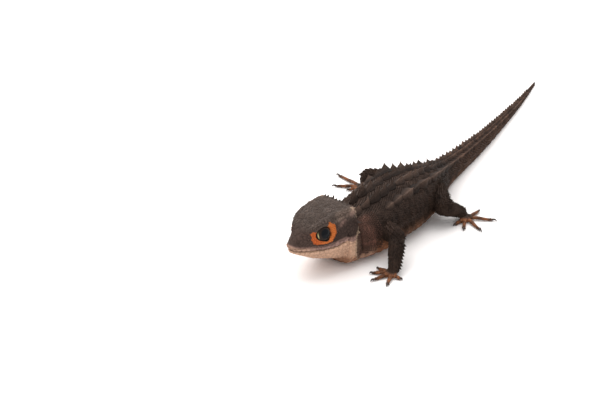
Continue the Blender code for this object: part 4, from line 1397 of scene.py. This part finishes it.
# The points of the head.
# Horny spikes stand along the casque's rear rim and at the jaw's rear corners, with knobs along the
# casque's edges. All are rooted in the bone.
CASQUE_SPINES = (
    (6.8, -23.4, 20.3, 1.0), (5.6, -23.3, 20.6, 0.7), (4.4, -23.2, 20.8, 0.9),
    (3.2, -23.1, 20.9, 0.6), (2.1, -23.1, 21.0, 1.7), (0.7, -23.1, 21.1, 0.7),
)
JAW_SPINES = ((-23.0, 15.8, 2.2), (-23.0, 12.4, 1.3))
KNOB_STEP = 0.85
ROOTED = 3.0
head_points, knobs = Seats(101), Seats(102)
rear = Vector((0, 1, 0))
for sign in (1, -1):
    for x, y, z, long in CASQUE_SPINES:
        head_points.add(Vector((sign * x, y, z)), rear, 2.0, 1.5, long, ROOTED, 0.0, 0.1)
    for y, z, long in JAW_SPINES:
        spot = head_place(y, sign * run_at_height(y, z))
        head_points.add(spot, rear, long * 1.1, 1.7, long * 0.62, ROOTED)
    for (x0, y0, z0), (x1, y1, z1) in zip(CASQUE_EDGE, CASQUE_EDGE[1:]):
        a, b = Vector((sign * x0, y0, z0)), Vector((sign * x1, y1, z1))
        for step in range(int((b - a).length / KNOB_STEP)):
            spot = a.lerp(b, (step + 0.5) * KNOB_STEP / (b - a).length)
            knobs.add(spot + Vector((0.35 * sign, 0, 0)), b - a, 1.25, 0.95, 0.42, ROOTED)
    for (y0, z0), (y1, z1) in zip(CHEEK_EDGE, CHEEK_EDGE[1:]):
        for step in range(4):
            y, z = y0 + (y1 - y0) * step / 4, z0 + (z1 - z0) * step / 4
            spot = head_place(y, sign * run_at_height(y, z))
            knobs.add(spot, rear, 1.2, 0.9, 0.4, ROOTED)
plant("head_points", keeled_stamp(10, 0.5, 0.3), head_points, shield_material)
plant("casque_knobs", keeled_stamp(8, 0.3, 0.1), knobs, shield_material)


# The hands and feet.
# Small overlapping scales on the palms and round every toe, and a dark curved claw at each tip.
TOE_TIP_HEIGHT = 0.4
TOE_SCALE_STEP = 0.62
TOE_SCALE_TURNS = (90, 38, 142, -15, 195)
# Along each claw: how far along the toe, its middle's height, and its radius.
CLAW = ((0.83, 0.55, 0.36), (0.88, 0.78, 0.36), (0.93, 0.82, 0.28), (0.975, 0.5, 0.18), (1.0, 0.1, 0.04))


def toe_spot(root, tip, t):
    flat = root.lerp(tip, t)
    return Vector((flat.x, flat.y, float(read_off((*TOE_LINE, (1.0, TOE_TIP_HEIGHT)), t))))


toe_seats = Seats(111)
claw_shell = bmesh.new()
for palm_end, toe_lines in foot_places.values():
    for root, tip in toe_lines:
        ahead = Vector((tip.x - root.x, tip.y - root.y, 0.0)).normalized()
        side = ahead.cross(Vector((0, 0, 1)))
        run = (tip - root).length
        for step in range(int(run * 0.86 / TOE_SCALE_STEP)):
            t = (step + 0.5) * TOE_SCALE_STEP / run
            for turn in map(math.radians, TOE_SCALE_TURNS):
                round_it = side * math.cos(turn) + Vector((0, 0, math.sin(turn)))
                spot = toe_spot(root, tip, t) + round_it * TOE_RADIUS * 0.95
                toe_seats.add(spot, ahead, 0.98, 0.72, 0.2, 0.6)
        line = [root.lerp(tip, t) for t, _, _ in CLAW]
        line = [Vector((p.x, p.y, high)) for p, (_, high, _) in zip(line, CLAW)]
        loft(claw_shell, tube_rings(line, [radius for _, _, radius in CLAW], 10, 1.15))
plant("toe_scales", granule_stamp(0.4), toe_seats, throat_material, smooth_faces=True)

bmesh.ops.recalc_face_normals(claw_shell, faces=claw_shell.faces[:])
for vert in claw_shell.verts:
    vert.co = on_model(vert.co)
claw_mesh = mesh_from(claw_shell, "claws")
claw_mesh.shade_smooth()
claw_look = Finish("claw_horn")
claw_look.set("Base Color", (0.035, 0.020, 0.014, 1.0))
claw_look.set("Roughness", 0.3)
lay("claws", claw_mesh, claw_look.material)


# The eyes.
# A glossy dark ball in each socket, with a brown iris that is little lighter than the pupil, glossy and wet
# all over. Each is held by its ring of lid scales.
PUPIL_BLACK = (0.004, 0.005, 0.007)
IRIS_BROWN = (0.020, 0.013, 0.010)
# The gold of the iris's front rim, brightened as a painted highlight.
GOLD_RIM_HIGHLIGHT = (0.62, 0.56, 0.26)
GOLD_RIM_HIGHLIGHT_AT = 2.45


def eye_ball(name, sign):
    middle = Vector((sign * EYE.x, EYE.y, EYE.z))
    looks = Vector((sign * EYE_LOOKS.x, EYE_LOOKS.y, EYE_LOOKS.z))
    ball = bmesh.new()
    bmesh.ops.create_uvsphere(ball, u_segments=96, v_segments=64, radius=EYE_RADIUS)
    turn = Vector((0, 0, 1)).rotation_difference(looks)
    bmesh.ops.rotate(ball, verts=ball.verts, cent=(0, 0, 0), matrix=turn.to_matrix())
    bmesh.ops.translate(ball, verts=ball.verts, vec=middle)
    for vert in ball.verts:
        vert.co = on_model(vert.co)
    mesh = mesh_from(ball, name)
    mesh.shade_smooth()

    # A dark iris round the pupil, with a gold crescent at its front edge: the iris's gold rim with a painted
    # highlight on it.
    looks = np.array(looks)
    from_middle = (mesh_points(mesh) - np.array(on_model(middle))) / MM
    facing = from_middle @ looks / EYE_RADIUS
    colours = np.tile(np.array(PUPIL_BLACK), (len(facing), 1))
    colours = mix(colours, IRIS_BROWN, ramp(facing, 0.62, 0.68) * ramp(-facing, -0.90, -0.84))
    forward = np.array((0.0, -1.0, 0.0)) + looks * looks[1]
    forward /= np.linalg.norm(forward)
    ahead, rise = from_middle @ forward, from_middle @ np.cross(looks, forward)
    gold_rim_highlight = bell(np.hypot(ahead, 0.9 * rise) - GOLD_RIM_HIGHLIGHT_AT, 0.1) * bell(rise, 0.8) * (ahead > 0) * (facing > 0.3)
    colours = mix(colours, GOLD_RIM_HIGHLIGHT, gold_rim_highlight)
    set_tint(mesh, colours)
    return set_out(name, mesh)


eye_look = Finish("wet_eye")
streaks = eye_look.noise(1400.0)
eye_colour = eye_look.shade(eye_look.tint(), 0.8 + 0.4 * streaks)
eye_look.tree.links.new(eye_colour.socket, eye_look.shader.inputs["Base Color"])
eye_look.set("Roughness", 0.06)
eye_look.set("Specular IOR Level", 0.10)
for name, sign in (("eye_left", 1), ("eye_right", -1)):
    ball = eye_ball(name + "_ball", sign)
    dress(ball, eye_look.material)
    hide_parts(name)
    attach(ball, "root")


# The light, the floor and the camera.
# A white sweep under a large soft light, as in a studio, and the photograph's own angle and lens.
AZIMUTH = math.radians(42.5)
ELEVATION = math.radians(26.0)
DISTANCE = 0.610
AIM = ORIGIN + Vector((-35.05, 0.0, 0.0)) * MM
looking = Vector((
    -math.sin(AZIMUTH) * math.cos(ELEVATION), math.cos(AZIMUTH) * math.cos(ELEVATION), -math.sin(ELEVATION)
))
camera = set_out("camera", bpy.data.cameras.new("camera"))
camera.data.lens = 100.0
camera.data.sensor_width = 36.0
camera.data.clip_start = 0.01
camera.location = AIM - looking * DISTANCE
camera.rotation_euler = looking.to_track_quat("-Z", "Y").to_euler()
bpy.context.scene.camera = camera

sweep = bmesh.new()
bmesh.ops.create_grid(sweep, x_segments=1, y_segments=1, size=3.0)
floor = set_out("floor", mesh_from(sweep, "floor"))
floor_look = Finish("white_sweep")
floor_look.set("Base Color", (0.97, 0.935, 0.92, 1.0))
floor_look.set("Roughness", 0.9)
floor.data.materials.append(floor_look.material)


def soft_light(name, place, aim, size, watts):
    lamp = bpy.data.lights.new(name, "AREA")
    lamp.shape = "SQUARE"
    lamp.size = size
    lamp.energy = watts
    made = set_out(name, lamp)
    made.location = place
    made.rotation_euler = (Vector(aim) - Vector(place)).to_track_quat("-Z", "Y").to_euler()


soft_light("overhead", (-0.40, 0.10, 0.80), (0.0, -0.02, 0.0), 1.3, 12.0)
room = bpy.data.worlds.new("studio")
bpy.context.scene.world = room
room.use_nodes = True
walls = room.node_tree.nodes["Background"]
walls.inputs["Color"].default_value = (1.0, 1.0, 1.0, 1.0)
walls.inputs["Strength"].default_value = 0.9
bpy.context.scene.view_settings.view_transform = "Standard"
